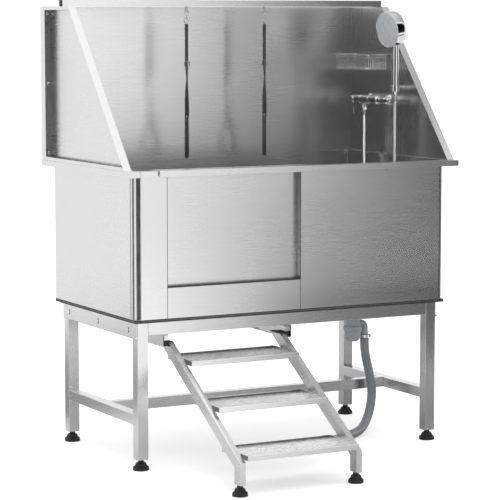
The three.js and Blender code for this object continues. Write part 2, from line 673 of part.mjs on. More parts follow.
// ---- Drain ------------------------------------------------------------------------------------------------------
const DRAIN_OUTLET_X = DRAIN_X + 50;
const SPIGOT_END = 341; // lower end of the trap's outlet

// The hose drops from the trap's outlet to the floor and runs forward and to the left along it.
const DRAIN_HOSE_ROUTE = [
  [435, -60, 336], [435.5, -60, 318], [439, -60, 286], [447, -60, 250], [456, -60, 215],
  [463, -60, 180], [467, -60, 146.6], [458.8, -65.5, 96.9], [435.4, -81.3, 54.7], [400.4, -105, 26.5],
  [359.1, -132.8, 17.4], [317, -161, 16.8], [272, -189, 16.6], [224, -211, 16.6], [172, -226, 16.6],
  [110, -233, 16.6], [40, -234, 16.6], [-24, -234, 16.6], [-84, -234, 16.6],
];

function addDrain() {
  const at = (x, z) => [x, DRAIN_Y, z];
  const strainer = turned([
    [0, 486], [24, 486], [30, 492], [30, 497], [42, 497], [42, 499], [0, 499],
  ], 24).translate([DRAIN_X, DRAIN_Y, 0]);
  add('drain_strainer', strainer, STEEL);
  const bottle = turned([
    [0, 335], [20, 335], [29, 345], [30, 372], [33, 374], [33, 388], [30, 390], [26, 402],
    [26, 444], [31, 450], [34, 470], [42, 480], [42, 492], [0, 492],
  ], 24).translate([DRAIN_X, DRAIN_Y, 0]);
  const well = turned([
    [0, 470], [30, 484], [33, 490], [33, 495], [0, 495],
  ], 24).translate([DRAIN_X, DRAIN_Y, 0]);
  const outletZ = 398;
  const trap = bottle
    .add(rod(12.5, at(DRAIN_X, outletZ), at(DRAIN_OUTLET_X, outletZ)))
    .add(rod(12.5, at(DRAIN_OUTLET_X, outletZ + 12.5), at(DRAIN_OUTLET_X, SPIGOT_END)))
    .subtract(well);
  add('drain_trap', trap, GREY_PLASTIC);
  const clamp = rod(17, at(DRAIN_OUTLET_X, SPIGOT_END + 2), at(DRAIN_OUTLET_X, SPIGOT_END + 16), 20)
    .add(block(DRAIN_OUTLET_X + 14, DRAIN_OUTLET_X + 27, DRAIN_Y - 7, DRAIN_Y + 5, 345, 355))
    .subtract(rod(12.8, at(DRAIN_OUTLET_X, SPIGOT_END), at(DRAIN_OUTLET_X, SPIGOT_END + 20), 20));
  add('drain_hose_clamp', clamp, STEEL);
  add('drain_hose', cordAlong(DRAIN_HOSE_ROUTE, DRAIN_HOSE_DIAMETER, 10, 24), GREY_PLASTIC);
}

// The shower hose hangs from the mixer's outlet into the tub and comes up again to the handset.
const SHOWER_HOSE_ROUTE = [
  [555, 148, 1145.5], [555, 148, 1120], [555, 148, 1080], [555, 148, 1020], [555, 147, 950],
  [554, 144, 870], [553, 138, 790], [552, 128, 710], [550, 110, 632], [548, 80, 570],
  [547, 38, 540], [546, -6, 548], [546, -40, 590], [546, -60, 660], [547, -70, 740],
  [548, -74, 830], [548, -75, 920], [548, -75, 1010], [548, -75, 1090], [548, -75, 1160],
  [548, -75, 1208],
];

function addShowerHose() {
  add('shower_hose', cordAlong(SHOWER_HOSE_ROUTE, TAP_HOSE_DIAMETER, 8, 50), CHROME);
}

addPan();
addSkins();
addRim();
addDoorway();
addDoor();
addSplash();
addBar();
addStand();
addStair();
addMixer();
addHandset();
addBasket();
addLeashes();
addDrain();
addShowerHose();

const group = new THREE.Group();
group.add(tub);

export default group;
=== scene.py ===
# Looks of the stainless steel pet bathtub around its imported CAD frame. Metres, +Z up, door and stair at -Y.
import math

import bmesh
import bpy
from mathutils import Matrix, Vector


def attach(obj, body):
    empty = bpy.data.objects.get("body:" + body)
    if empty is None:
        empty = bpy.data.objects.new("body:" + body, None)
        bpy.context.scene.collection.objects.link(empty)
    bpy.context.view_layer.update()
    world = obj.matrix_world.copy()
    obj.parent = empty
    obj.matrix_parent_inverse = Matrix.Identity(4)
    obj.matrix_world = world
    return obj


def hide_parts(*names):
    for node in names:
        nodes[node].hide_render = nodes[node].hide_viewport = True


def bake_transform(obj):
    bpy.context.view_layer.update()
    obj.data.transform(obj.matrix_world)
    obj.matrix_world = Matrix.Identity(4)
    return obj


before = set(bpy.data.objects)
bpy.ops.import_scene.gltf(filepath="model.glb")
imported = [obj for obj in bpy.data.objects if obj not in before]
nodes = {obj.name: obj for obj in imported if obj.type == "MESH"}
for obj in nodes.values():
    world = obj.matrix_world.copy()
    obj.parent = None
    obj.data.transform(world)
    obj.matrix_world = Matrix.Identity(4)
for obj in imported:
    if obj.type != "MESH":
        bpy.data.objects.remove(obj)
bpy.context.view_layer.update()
scene = bpy.context.scene

SHIFT = 0.2315  # the tub's middle lies this far behind the origin
SIDES = (("left", -1), ("right", 1))


def at(x, y, z):
    """A point given in millimetres from the tub's middle, as metres in the row frame."""
    return Vector((x / 1000, y / 1000 + SHIFT, z / 1000))


def up(z):
    """A rise in metres."""
    return Vector((0, 0, z))


def heading(angle):
    """A level unit vector, turned from +X toward +Y."""
    return Vector((math.cos(angle), math.sin(angle), 0))


# ---- Camera ----
camera_data = bpy.data.cameras.new("camera")
camera = bpy.data.objects.new("camera", camera_data)
scene.collection.objects.link(camera)
camera.location = (-3.575, -6.448, 1.495)
camera.rotation_euler = (math.radians(90 - 6.166), 0, math.radians(-28.16))
camera_data.sensor_width = 36
camera_data.lens = 156.3
camera_data.clip_start = 0.1
camera_data.clip_end = 200
scene.camera = camera


# ---- Materials ----
def grey(level):
    return (level, level, level)


def fill_ramp(ramp, stops):
    """Gives a colour ramp node its (position, colour) stops."""
    elements = ramp.color_ramp.elements
    while len(elements) < len(stops):
        elements.new(0.5)
    for element, (position, color) in zip(elements, stops):
        element.position = position
        element.color = (*color, 1)


class Finish:
    """A Principled material with a few shorthand ways to wire noise into it."""

    def __init__(self, name, color, roughness, metallic=0, **constants):
        self.material = bpy.data.materials.new(name)
        self.material.use_nodes = True
        self.tree = self.material.node_tree
        self.shader = self.tree.nodes["Principled BSDF"]
        self.shader.inputs["Base Color"].default_value = (*color, 1)
        self.shader.inputs["Roughness"].default_value = roughness
        self.shader.inputs["Metallic"].default_value = metallic
        for key, value in constants.items():
            self.shader.inputs[key.replace("_", " ")].default_value = value
        self.material.diffuse_color = (*color, 1)
        self.coordinates = self.tree.nodes.new("ShaderNodeTexCoord").outputs["Object"]

    def node(self, kind, inputs=(), **settings):
        made = self.tree.nodes.new("ShaderNode" + kind)
        for key, value in settings.items():
            setattr(made, key, value)
        for key, value in dict(inputs).items():
            if isinstance(value, bpy.types.NodeSocket):
                self.tree.links.new(value, made.inputs[key])
            else:
                made.inputs[key].default_value = value
        return made

    def noise(self, scale, detail, rough=0.55):
        """Noise in the object's own frame. The scale is one number or one per axis."""
        scales = scale if hasattr(scale, "__len__") else (scale, scale, scale)
        vector = self.node("Mapping", {"Vector": self.coordinates, "Scale": scales}).outputs["Vector"]
        made = self.node("TexNoise", {"Vector": vector, "Scale": 1, "Detail": detail, "Roughness": rough})
        return made.outputs["Fac"]

    def ranged(self, value, low, high, start=0.3, end=0.7):
        made = self.node("MapRange", {"Value": value, "From Min": start, "From Max": end,
                                      "To Min": low, "To Max": high})
        return made.outputs["Result"]

    def paint(self, value, stops):
        """Lets the base colour follow a value through (position, colour) stops."""
        made = self.node("ValToRGB", {"Fac": value})
        fill_ramp(made, stops)
        self.set("Base Color", made.outputs["Color"])

    def math(self, operation, a, b):
        return self.node("Math", {0: a, 1: b}, operation=operation).outputs["Value"]

    def set(self, name, socket):
        self.tree.links.new(socket, self.shader.inputs[name])

    def bump(self, height, strength, distance):
        made = self.node("Bump", {"Height": height, "Strength": strength, "Distance": distance})
        self.set("Normal", made.outputs["Normal"])


HAIR_SCALES, STREAK_SCALES = (7, 420), (11, 150)  # of noise along the grain, and across it
HAIR_SHARE = 0.3  # of the hairlines where they mix with streaks or cloud
STEEL_TONE, STEEL_ROUGHNESS = 0.72, 0.27


def brushed_steel(grain):
    """Stainless sheet with hairline grain along one axis, cloudy wiped marks and faint tone drift."""
    tone, rough = STEEL_TONE, STEEL_ROUGHNESS
    finish = Finish("steel_grain_" + grain, (tone, tone * 1.003, tone * 1.008), rough, 1)
    hair, streak = (finish.noise([along if axis == grain else across for axis in "xyz"], 1, 0.5)
                    for along, across in (HAIR_SCALES, STREAK_SCALES))
    cloud = finish.noise(2.5, 1, 0.4)

    def hair_with(other):
        shares = (finish.math("MULTIPLY", hair, HAIR_SHARE), finish.math("MULTIPLY", other, 1 - HAIR_SHARE))
        return finish.math("ADD", *shares)

    low, high = tone * 0.98, tone * 1.016
    finish.paint(hair_with(streak), [
        (place, (level, level * 1.001, level * 1.002)) for place, level in ((0.3, low), (0.7, high))
    ])
    finish.set("Roughness", finish.ranged(hair_with(cloud), rough - 0.015, rough + 0.02, 0.35, 0.65))
    finish.bump(hair, 0.012, 0.0002)
    return finish.material


def worn(name, color, roughness, metallic, drift, stops, span, bump, fine=None, distance=0.0003, **constants):
    """A surface whose colour stops and roughness span follow a noise (scale, detail).

    The bump comes from a noise of the scale given as fine, or from the same noise.
    """
    finish = Finish(name, color, roughness, metallic, **constants)
    slow = finish.noise(*drift)
    if stops:
        finish.paint(slow, stops)
    finish.set("Roughness", finish.ranged(slow, *span))
    finish.bump(finish.noise(fine, 2) if fine else slow, bump, distance)
    return finish.material


def hammered_steel():
    finish = Finish("steel_hammered", (0.88, 0.882, 0.885), 0.16, 0.6)
    finish.set("Roughness", finish.ranged(finish.noise(40, 4), 0.12, 0.24))
    dimple = finish.noise((130, 70, 130), 1)
    finish.paint(dimple, [(0.38, (0.66, 0.662, 0.665)), (0.5, (0.97, 0.972, 0.975))])
    finish.bump(dimple, 0.25, 0.0008)
    return finish.material


def webbing():
    finish = Finish("webbing_black", (0.012, 0.012, 0.014), 0.8, Sheen_Weight=0.35, Sheen_Roughness=0.5)
    threads = []
    for scale, distortion, axis in ((330, 0.6, "Z"), (260, 0.4, "X")):
        inputs = {"Vector": finish.coordinates, "Scale": scale, "Distortion": distortion, "Detail": 1.0}
        threads.append(finish.node("TexWave", inputs, wave_type="BANDS", bands_direction=axis).outputs["Fac"])
    weave = finish.math("MAXIMUM", *threads)
    finish.paint(weave, [(0.2, (0.006, 0.006, 0.007)), (0.9, (0.03, 0.03, 0.034))])
    finish.set("Roughness", finish.ranged(weave, 0.9, 0.7, 0, 1))
    finish.bump(weave, 0.5, 0.0006)
    return finish.material


STEEL = {grain: brushed_steel(grain) for grain in "xyz"}
EDGE = worn("steel_edge", (0.82, 0.825, 0.83), 0.2, 1, (60, 3), None, (0.14, 0.3), 0.1)
HAMMERED = hammered_steel()
CHROME = worn("chrome_plate", (0.66, 0.665, 0.675), 0.07, 1, (35, 4),
              [(0.35, (0.7, 0.705, 0.715)), (0.8, (0.62, 0.625, 0.635))], (0.05, 0.14, 0.4, 0.75), 0.03, 180)
BLACK = worn("plastic_black", (0.012, 0.012, 0.013), 0.5, 0, (45, 4),
             [(0.4, (0.01, 0.01, 0.011)), (0.8, (0.028, 0.028, 0.029))], (0.42, 0.62), 0.2, 900)
# Near-black beads: painted shade in the tub's seams and on the door's sill.
SEAM_SHADE = worn("seam_painted_shade", (0.03, 0.03, 0.031), 0.6, 0, (55, 3),
            [(0.35, (0.022, 0.022, 0.023)), (0.8, (0.05, 0.05, 0.051))], (0.5, 0.7), 0.1)
# Dark steel that paints shade and dark reflections: in the foot's seam, on the front corners and in the
# treads.
STEEL_SHADE = worn("steel_painted_shade", (0.16, 0.161, 0.163), 0.4, 1, (30, 3),
            [(0.3, (0.13, 0.131, 0.133)), (0.7, (0.2, 0.201, 0.204))], (0.34, 0.5), 0.08)
TRAP = worn("plastic_trap", (0.4, 0.43, 0.45), 0.32, 0, ((30, 30, 12), 3),
            [(0.3, (0.34, 0.365, 0.385)), (0.7, (0.46, 0.485, 0.505))], (0.26, 0.42), 0.12, 700,
            Coat_Weight=0.2, Coat_Roughness=0.25)
HOSE = worn("vinyl_hose", (0.22, 0.25, 0.275), 0.34, 0, (14, 3),
            [(0.3, (0.175, 0.2, 0.225)), (0.7, (0.27, 0.3, 0.325))], (0.28, 0.44), 0.1, 500,
            Coat_Weight=0.25, Coat_Roughness=0.2)
WEBBING = webbing()
SPRAY_FACE = worn("plastic_spray_face", (0.48, 0.505, 0.525), 0.28, 0, (50, 4),
                  [(0.3, (0.45, 0.475, 0.495)), (0.75, (0.52, 0.545, 0.565))], (0.22, 0.38), 0.08,
                  distance=0.0004, Coat_Weight=0.3, Coat_Roughness=0.12)


# ---- Mesh helpers ----
LEAST_RADIUS = 0.05  # millimetres, so that no ring of a turned solid shrinks to a point
CURVE_PARTS = 12  # between two given points of a smooth curve


def add_object(name, bm, material):
    """Turns a bmesh into an object of the scene."""
    mesh = bpy.data.meshes.new(name)
    bm.to_mesh(mesh)
    bm.free()
    made = bpy.data.objects.new(name, mesh)
    scene.collection.objects.link(made)
    mesh.materials.append(material)
    return made


def piece(name, bm, material, body, sharp=32):
    """An object that rides on a body, smooth except at edges sharper than the given angle.

    The body is None for a piece that rides on no body.
    """
    bmesh.ops.recalc_face_normals(bm, faces=bm.faces)
    limit = math.radians(sharp)
    for edge in bm.edges:
        edge.smooth = len(edge.link_faces) == 2 and edge.calc_face_angle(0) < limit
    for face in bm.faces:
        face.smooth = True
    made = add_object(name, bm, material)
    if body:
        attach(made, body)
    return made


def basis(direction):
    """Two unit vectors square to a direction."""
    direction = Vector(direction).normalized()
    side = direction.orthogonal().normalized()
    return side, direction.cross(side)


def turns(count, start=0):
    """Angles that share out a full turn."""
    return [start + 2 * math.pi * i / count for i in range(count)]


def circle(centre, u, v, radius, count, start=0):
    """Points round a centre, in the plane of two unit vectors."""
    return [centre + (u * math.cos(t) + v * math.sin(t)) * radius for t in turns(count, start)]


def around(ring):
    """Each item of a closed ring with the one after it."""
    return zip(ring, ring[1:] + ring[:1])


def add_verts(bm, points):
    return [bm.verts.new(point) for point in points]


def ring_faces(bm, rings, closed_ends=True):
    for a, b in zip(rings, rings[1:]):
        for (a0, a1), (b0, b1) in zip(around(a), around(b)):
            bm.faces.new((a0, a1, b1, b0))
    if closed_ends:
        bm.faces.new(rings[0][::-1])
        bm.faces.new(rings[-1])


def turned_rings(bm, origin, axis, profile, segments):
    """Rings of vertices round an axis. The profile is (distance along it, radius) pairs in millimetres."""
    axis = Vector(axis).normalized()
    u, v = basis(axis)
    return [
        add_verts(bm, circle(origin + axis * (z / 1000), u, v, max(radius, LEAST_RADIUS) / 1000, segments))
        for z, radius in profile
    ]


def lathe(bm, origin, axis, profile, segments=32):
    """Adds a turned solid."""
    ring_faces(bm, turned_rings(bm, origin, axis, profile, segments))


def washer(bm, origin, axis, inner, outer, low, high, soften):
    """Adds a ring with softened rims, its hole left open. Millimetres."""
    profile = [
        (low + soften, inner), (low, inner + soften), (low, outer - soften), (low + soften, outer),
        (high - soften, outer), (high, outer - soften), (high, inner + soften), (high - soften, inner),
    ]
    rings = turned_rings(bm, origin, axis, profile, 40)
    ring_faces(bm, rings + rings[:1], closed_ends=False)


def sweep(bm, points, radius, sides=12, closed=False):
    """Adds a round bar along points. The radius is one number or one per point, in metres."""
    count = len(points)
    radii = radius if hasattr(radius, "__len__") else [radius] * count
    tangents = []
    for i in range(count):
        before = points[i - 1] if i or closed else points[i]
        after = points[(i + 1) % count] if i + 1 < count or closed else points[i]
        tangents.append((after - before).normalized())
    side, _ = basis(tangents[0])
    rings = []
    for point, tangent, r in zip(points, tangents, radii):
        side = (side - tangent * side.dot(tangent)).normalized()
        rings.append(add_verts(bm, circle(point, side, tangent.cross(side), r, sides)))
    ring_faces(bm, rings + rings[:1] if closed else rings, closed_ends=not closed)


def bevel_edges(bm, edges, width, segments):
    bmesh.ops.bevel(bm, geom=list(edges), offset=width, segments=segments, profile=0.6, affect="EDGES",
                    clamp_overlap=True)


def block(bm, corner, other, bevel=0.001, segments=2):
    """Adds a box between two opposite corners, with rounded edges. Metres."""
    low, high = Vector(map(min, corner, other)), Vector(map(max, corner, other))
    made = bmesh.ops.create_cube(bm, size=1.0)["verts"]
    size = high - low
    middle = (low + high) / 2
    for vert in made:
        vert.co = Vector(vert.co[i] * size[i] for i in range(3)) + middle
    bevel_edges(bm, {edge for vert in made for edge in vert.link_edges}, bevel, segments)


def prism(bm, outline, offset, bevel=0):
    """Adds a solid from a closed outline of points, pushed along an offset."""
    near = add_verts(bm, outline)
    far = add_verts(bm, [point + offset for point in outline])
    faces = [bm.faces.new(near), bm.faces.new(far[::-1])]
    for (near_a, near_b), (far_a, far_b) in zip(around(near), around(far)):
        faces.append(bm.faces.new((near_b, near_a, far_a, far_b)))
    if bevel:
        bevel_edges(bm, {edge for face in faces for edge in face.edges}, bevel, 2)


def nut(bm, centre, axis, across, low, high):
    """Adds a hexagon between two distances along an axis, its corners softened. Millimetres."""
    axis = Vector(axis).normalized()
    outline = circle(centre + axis * (low / 1000), *basis(axis), across / math.sqrt(3) / 1000, 6)
    prism(bm, outline, axis * ((high - low) / 1000), 0.0006)


def between(a, b, t_a, t_b, t):
    """The value at t on the line that passes a at t_a and b at t_b."""
    return a * ((t_b - t) / (t_b - t_a)) + b * ((t - t_a) / (t_b - t_a))


def smooth_curve(points, step):
    """Points along a centripetal Catmull-Rom curve through the given ones, a step apart, and its length."""
    padded = [points[0] * 2 - points[1], *points, points[-1] * 2 - points[-2]]
    fine = []
    for i in range(len(points) - 1):
        p0, p1, p2, p3 = padded[i:i + 4]
        t0 = 0
        t1 = math.sqrt((p1 - p0).length)
        t2 = t1 + math.sqrt((p2 - p1).length)
        t3 = t2 + math.sqrt((p3 - p2).length)
        for k in range(CURVE_PARTS):
            t = t1 + (t2 - t1) * k / CURVE_PARTS
            a2 = between(p1, p2, t1, t2, t)
            b1 = between(between(p0, p1, t0, t1, t), a2, t0, t2, t)
            b2 = between(a2, between(p2, p3, t2, t3, t), t1, t3, t)
            fine.append(between(b1, b2, t1, t2, t))
    fine.append(points[-1])
    lengths = [0]
    for a, b in zip(fine, fine[1:]):
        lengths.append(lengths[-1] + (b - a).length)
    count = max(2, round(lengths[-1] / step))
    spaced, j = [], 0
    for i in range(count + 1):
        want = lengths[-1] * i / count
        while j + 2 < len(lengths) and lengths[j + 1] < want:
            j += 1
        share = (want - lengths[j]) / max(lengths[j + 1] - lengths[j], 1e-9)
        spaced.append(fine[j].lerp(fine[j + 1], min(max(share, 0), 1)))
    return spaced, lengths[-1]


# ---- Cords ----
DRAIN_HOSE_ROUTE = [Vector(p) for p in (
    (0.435, 0.1715, 0.336), (0.4355, 0.1715, 0.318), (0.439, 0.1715, 0.286), (0.447, 0.1715, 0.25),
    (0.456, 0.1715, 0.215), (0.463, 0.1715, 0.18), (0.467, 0.1715, 0.1466), (0.4588, 0.166, 0.0969),
    (0.4354, 0.1502, 0.0547), (0.4004, 0.1265, 0.0265), (0.3591, 0.0987, 0.0174), (0.317, 0.0705, 0.0168),
    (0.272, 0.0425, 0.0166), (0.224, 0.0205, 0.0166), (0.172, 0.0055, 0.0166), (0.11, -0.0015, 0.0166),
    (0.04, -0.0025, 0.0166), (-0.024, -0.0025, 0.0166), (-0.084, -0.0025, 0.0166),
)]
SHOWER_HOSE_ROUTE = [Vector(p) for p in (
    (0.555, 0.3795, 1.1455), (0.555, 0.3795, 1.12), (0.555, 0.3795, 1.08), (0.555, 0.3795, 1.02),
    (0.555, 0.3785, 0.95), (0.554, 0.3755, 0.87), (0.553, 0.3695, 0.79), (0.552, 0.3595, 0.71),
    (0.55, 0.3415, 0.632), (0.548, 0.3115, 0.57), (0.547, 0.2695, 0.54), (0.546, 0.2255, 0.548),
    (0.546, 0.1915, 0.59), (0.546, 0.1715, 0.66), (0.547, 0.1615, 0.74), (0.548, 0.1575, 0.83),
    (0.548, 0.1565, 0.92), (0.548, 0.1565, 1.01), (0.548, 0.1565, 1.09), (0.548, 0.1565, 1.16),
    (0.548, 0.1565, 1.208),
)]


def make_drain_hose():
    diameter = 0.032
    points, length = smooth_curve(DRAIN_HOSE_ROUTE, step=0.008)
    bm = bmesh.new()
    sweep(bm, points, diameter / 2, sides=28)
    hose = piece("drain_hose_vinyl", bm, HOSE, "tub", sharp=50)
    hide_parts("drain_hose")


def make_shower_hose():
    diameter, groove = 0.012, 0.0007
    points, length = smooth_curve(SHOWER_HOSE_ROUTE, step=0.0017)
    radii = [diameter / 2 - (groove if i % 2 else 0) for i in range(len(points))]
    bm = bmesh.new()
    sweep(bm, points, radii, sides=14)
    hose = piece("shower_hose_spiral", bm, CHROME, None, sharp=20)
    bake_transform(hose)
    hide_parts("shower_hose")


make_drain_hose()
make_shower_hose()


# ---- CAD sheet metal: grain directions and rounded edges ----
GRAIN_OF_NODE = {
    "x": "floor_pan skin_right skin_back rim_back rim_front_left rim_front_right sill_panel door_panel "
         "splash_back leash_bar front_rail back_rail centre_stretcher tread_top tread_middle tread_bottom",
    "y": "skin_left rim_left rim_right splash_left side_plate_left side_plate_right side_stretcher_left "
         "side_stretcher_right stair_rail_left stair_rail_right stringer_left stringer_right",
    "z": "splash_right jamb_left jamb_right leg_front_left leg_front_right leg_back_left leg_back_right",
}
THIN_SHEET = ("skin", "splash", "jamb", "sill", "rim", "floor")  # how the names of the thin parts start
THIN_EDGE, TUBE_EDGE = 0.0005, 0.0013


def dress(name, material, bevel, edge=EDGE):
    """Gives a CAD node its material, and rounded edges of another."""
    node = nodes[name]
    node.data.materials.clear()
    node.data.materials.append(material)
    node.data.materials.append(edge)
    weld = node.modifiers.new("weld", "WELD")
    weld.merge_threshold = 0.00001
    rounding = node.modifiers.new("rounding", "BEVEL")
    rounding.width = bevel
    rounding.segments = 2
    rounding.limit_method = "ANGLE"
    rounding.angle_limit = math.radians(40)
    rounding.material = 1


for grain, names in GRAIN_OF_NODE.items():
    for name in names.split():
        dress(name, STEEL[grain], THIN_EDGE if name.startswith(THIN_SHEET) else TUBE_EDGE)
for name in ("stair_glide_left", "stair_glide_right"):
    dress(name, BLACK, 0.002, BLACK)


# ---- Leashes ----
STRAP_WIDTH = 0.014
STRAP_THICK = 0.0024
NOOSE_TURN = math.radians(62)  # from the bar's direction to the noose's plane
TOP_TURN = math.radians(8)  # from the bar's direction to the strap's width at the snap
TURN_START, TURN_DEPTH = 1.36, 0.2  # the height where the width starts to turn, and how far down it goes on
FOLD_TOP, FOLD_LOW, FOLD_STEPS = 1.334, 1.142, 40  # where a second turn of the webbing lies on the strap
FOLD_SIDE = Vector((0.1, -1, 0)).normalized()
STRAP_SECTION = (  # across and through the webbing, in shares of its half width and half thickness
    (-1, 0), (-0.93, 0.72), (-0.8, 1), (0, 0.86), (0.8, 1), (0.93, 0.72),
    (1, 0), (0.93, -0.72), (0.8, -1), (0, -0.86), (-0.8, -1), (-0.93, -0.72),
)
STRAP_ROUTE = (  # across the noose's plane, and height, in metres
    (0, 1.466), (0, 1.44), (0, 1.41), (0, 1.375), (0, 1.34), (0, 1.3), (0, 1.26), (0, 1.22),
    (0, 1.18), (0, 1.15), (-0.003, 1.12), (-0.014, 1.092), (-0.026, 1.062), (-0.031, 1.034),
    (-0.024, 1.006), (0, 0.995), (0.024, 1.006), (0.031, 1.034), (0.026, 1.062), (0.017, 1.09),
    (0.011, 1.118),
)


def band(bm, points, widths, width, thickness):
    """Adds a flat strap along points. widths holds its width's direction at each point."""
    count = len(points)
    half, thin = width / 2, thickness / 2
    rings = []
    for i, (point, across) in enumerate(zip(points, widths)):
        tangent = (points[min(i + 1, count - 1)] - points[max(i - 1, 0)]).normalized()
        side = (across - tangent * across.dot(tangent)).normalized()
        normal = tangent.cross(side)
        section = [point + side * (u * half) + normal * (v * thin) for u, v in STRAP_SECTION]
        rings.append(add_verts(bm, section))
    ring_faces(bm, rings)


def make_leash(side, x):
    body = side + "_leash"
    along, across = heading(NOOSE_TURN), heading(NOOSE_TURN + math.pi / 2)
    base = at(x, 178, 0)
    route = [base + along * u + up(z) for u, z in STRAP_ROUTE]
    points, length = smooth_curve(route, step=0.004)

    def facing(point):
        """The width's direction turns from the bar's direction at the top to square to the noose."""
        share = min(max((TURN_START - point.z) / TURN_DEPTH, 0), 1)
        share = share * share * (3 - 2 * share)
        return heading(TOP_TURN + (NOOSE_TURN + math.pi / 2 - TOP_TURN) * share)

    widths = [facing(point) if i < len(points) * 0.6 else across for i, point in enumerate(points)]
    bm = bmesh.new()
    band(bm, points, widths, STRAP_WIDTH, STRAP_THICK)
    strap = piece("leash_webbing_" + side, bm, WEBBING, body, sharp=60)
    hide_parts("leash_strap_" + side)

    bm = bmesh.new()
    fold_points, fold_widths = [], []
    for i in range(FOLD_STEPS + 1):
        t = i / FOLD_STEPS
        bulge = 0.0025 + 0.0035 * math.sin(math.pi * t)
        fold_points.append(base + FOLD_SIDE * bulge + up(FOLD_TOP + (FOLD_LOW - FOLD_TOP) * t))
        fold_widths.append(heading(math.radians(20) + math.radians(118) * t))
    band(bm, fold_points, fold_widths, STRAP_WIDTH, STRAP_THICK * 0.8)
    fold = piece("leash_fold_" + side, bm, WEBBING, body, sharp=60)

    # Slider, ring and the stitched keeper above the top loop.
    bm = bmesh.new()
    half, front = 0.0095, -0.0032
    for z in (1.3185, 1.3255, 1.3325):
        sweep(bm, [base + Vector((dx, front, z)) for dx in (-half, half)], 0.0011, sides=10)
    for dx in (-half, half):
        sweep(bm, [base + Vector((dx, front, z)) for z in (1.3175, 1.3335)], 0.0014, sides=10)
    slider = piece("leash_slider_" + side, bm, CHROME, body)

    bm = bmesh.new()
    oval = [base + along * (0.0105 * math.cos(t)) + up(1.1335 + 0.0125 * math.sin(t)) for t in turns(28)]
    sweep(bm, oval, 0.0014, sides=10, closed=True)
    ring = piece("leash_ring_" + side, bm, CHROME, body)

    bm = bmesh.new()
    for z in (1.4475, 1.455):
        low_corner = base + Vector((-0.0078, -0.0022, z - 0.0009))
        block(bm, low_corner, low_corner + Vector((0.0156, 0.0044, 0.0018)), 0.0005)
    keeper = piece("leash_stitches_" + side, bm, WEBBING, body)
    make_snap(side, base, body)


def make_snap(side, base, body):
    """A swivel snap: an open hook with a sprung gate, its swivel, and the eye that holds the webbing."""
    eye_low = 1.5183 - 0.009 + 0.002  # where the welded eye's ring is lowest inside
    bm = bmesh.new()
    radii = [0.002] * 22 + [0.0019, 0.0017, 0.0015, 0.0012, 0.0009]
    hook = []
    for i in range(len(radii)):
        t = math.radians(-118 + 296 * i / (len(radii) - 1))
        hook.append(base + Vector((0.0066 * math.cos(t), 0, eye_low - 0.0036 + 0.0092 * math.sin(t))))
    sweep(bm, hook, radii, sides=12)
    lathe(bm, base + up(1.498), (0, 0, -1), [
        (-2.5, 1.6), (0, 3), (3, 3.4), (5, 2.6), (6.5, 2.6), (8, 4.8), (9, 5.3), (12, 5.3), (13, 4.6),
        (14.5, 2.4), (17, 2.2),
    ], 24)
    flat = -0.62  # the eye's lower bar is straight where the webbing lies
    eye = [base + Vector((0.0086 * math.cos(t), 0, 1.4748 + 0.0078 * max(math.sin(t), flat)))
           for t in turns(32)]
    sweep(bm, eye, 0.0015, sides=10, closed=True)
    snap = piece("leash_snap_body_" + side, bm, CHROME, body)
    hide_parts("leash_snap_" + side)
    bm = bmesh.new()
    gate = [base + Vector((-0.0068 + 0.0008 * i, -0.0002, eye_low - 0.0105 + 0.0034 * i)) for i in range(3)]
    sweep(bm, gate, [0.0012, 0.0015, 0.001], sides=10)
    piece("leash_gate_" + side, bm, CHROME, body)


make_leash("left", -157)
make_leash("right", 154)


# ---- Bar caps, stair plugs, screws and bolts ----
def make_bar_caps():
    for side, sign in SIDES:
        bm = bmesh.new()
        block(bm, at(sign * 633.2, 166.6, 1525.9), at(sign * 636, 189.4, 1548.5), 0.0012, 3)
        block(bm, at(sign * 621, 169.2, 1528.4), at(sign * 633.6, 186.8, 1546.1), 0.0008)
        piece("bar_cap_" + side, bm, BLACK, "tub")


def make_stringer_plugs():
    """A cap round each stringer's level mouth, and the plug that fills it."""
    front, rear, top, width = -298.2, -225.9, 421, 20
    shapes = (  # inset from the sides, inset from the ends, lift, direction pushed, softening
        (0.6, -0.6, 0.2, (0, 0.0028, 0.0028), 0.0009),
        (2, 5, 0.4, (0, -0.0178, -0.011), 0.0006),
    )
    for side, x0 in (("left", -465), ("right", -43)):
        bm = bmesh.new()
        for inset, lap, lift, push, bevel in shapes:
            near, far = x0 + inset, x0 + width - inset
            corners = ((near, front + lap), (far, front + lap), (far, rear - lap), (near, rear - lap))
            prism(bm, [at(x, y, top + lift) for x, y in corners], Vector(push), bevel)
        piece("stringer_plug_" + side, bm, BLACK, "stair")


def button_screw(bm, place, axis, radius=5.2, height=3):
    """Adds a domed hexagon-socket screw head with a washer under it, standing off a face."""
    washer_radius, seat, steps = radius * 1.28, 0.75, 6
    dome = [(0, washer_radius), (0.7, washer_radius), (seat, radius)]
    for i in range(1, steps):
        t = math.pi / 2 * i / steps
        dome.append((seat + height * math.sin(t), radius * math.cos(t) * 0.55 + radius * 0.45 * (1 - i / 14)))
    dome += [(seat + height, radius * 0.5), (seat + height * 0.45, radius * 0.46)]
    lathe(bm, place, axis, dome, 24)


def make_screws():
    rim_top = 995.4
    for side, sign in SIDES:
        bm = bmesh.new()
        for z in (1502, 1260, 1018.5):
            button_screw(bm, at(sign * 619.4, 331.2, z), (0, -1, 0))
        for y in (-200, 60, 250):
            button_screw(bm, at(sign * 621.5, y, rim_top), (0, 0, 1), 4.2, 2.4)
        piece("splash_screws_" + side, bm, EDGE, "tub", sharp=24)
    bm = bmesh.new()
    for x in (-560, -280, 0, 280, 560):
        button_screw(bm, at(x, 345.5, rim_top), (0, 0, 1), 4.2, 2.4)
    piece("splash_screws_back", bm, EDGE, "tub", sharp=24)


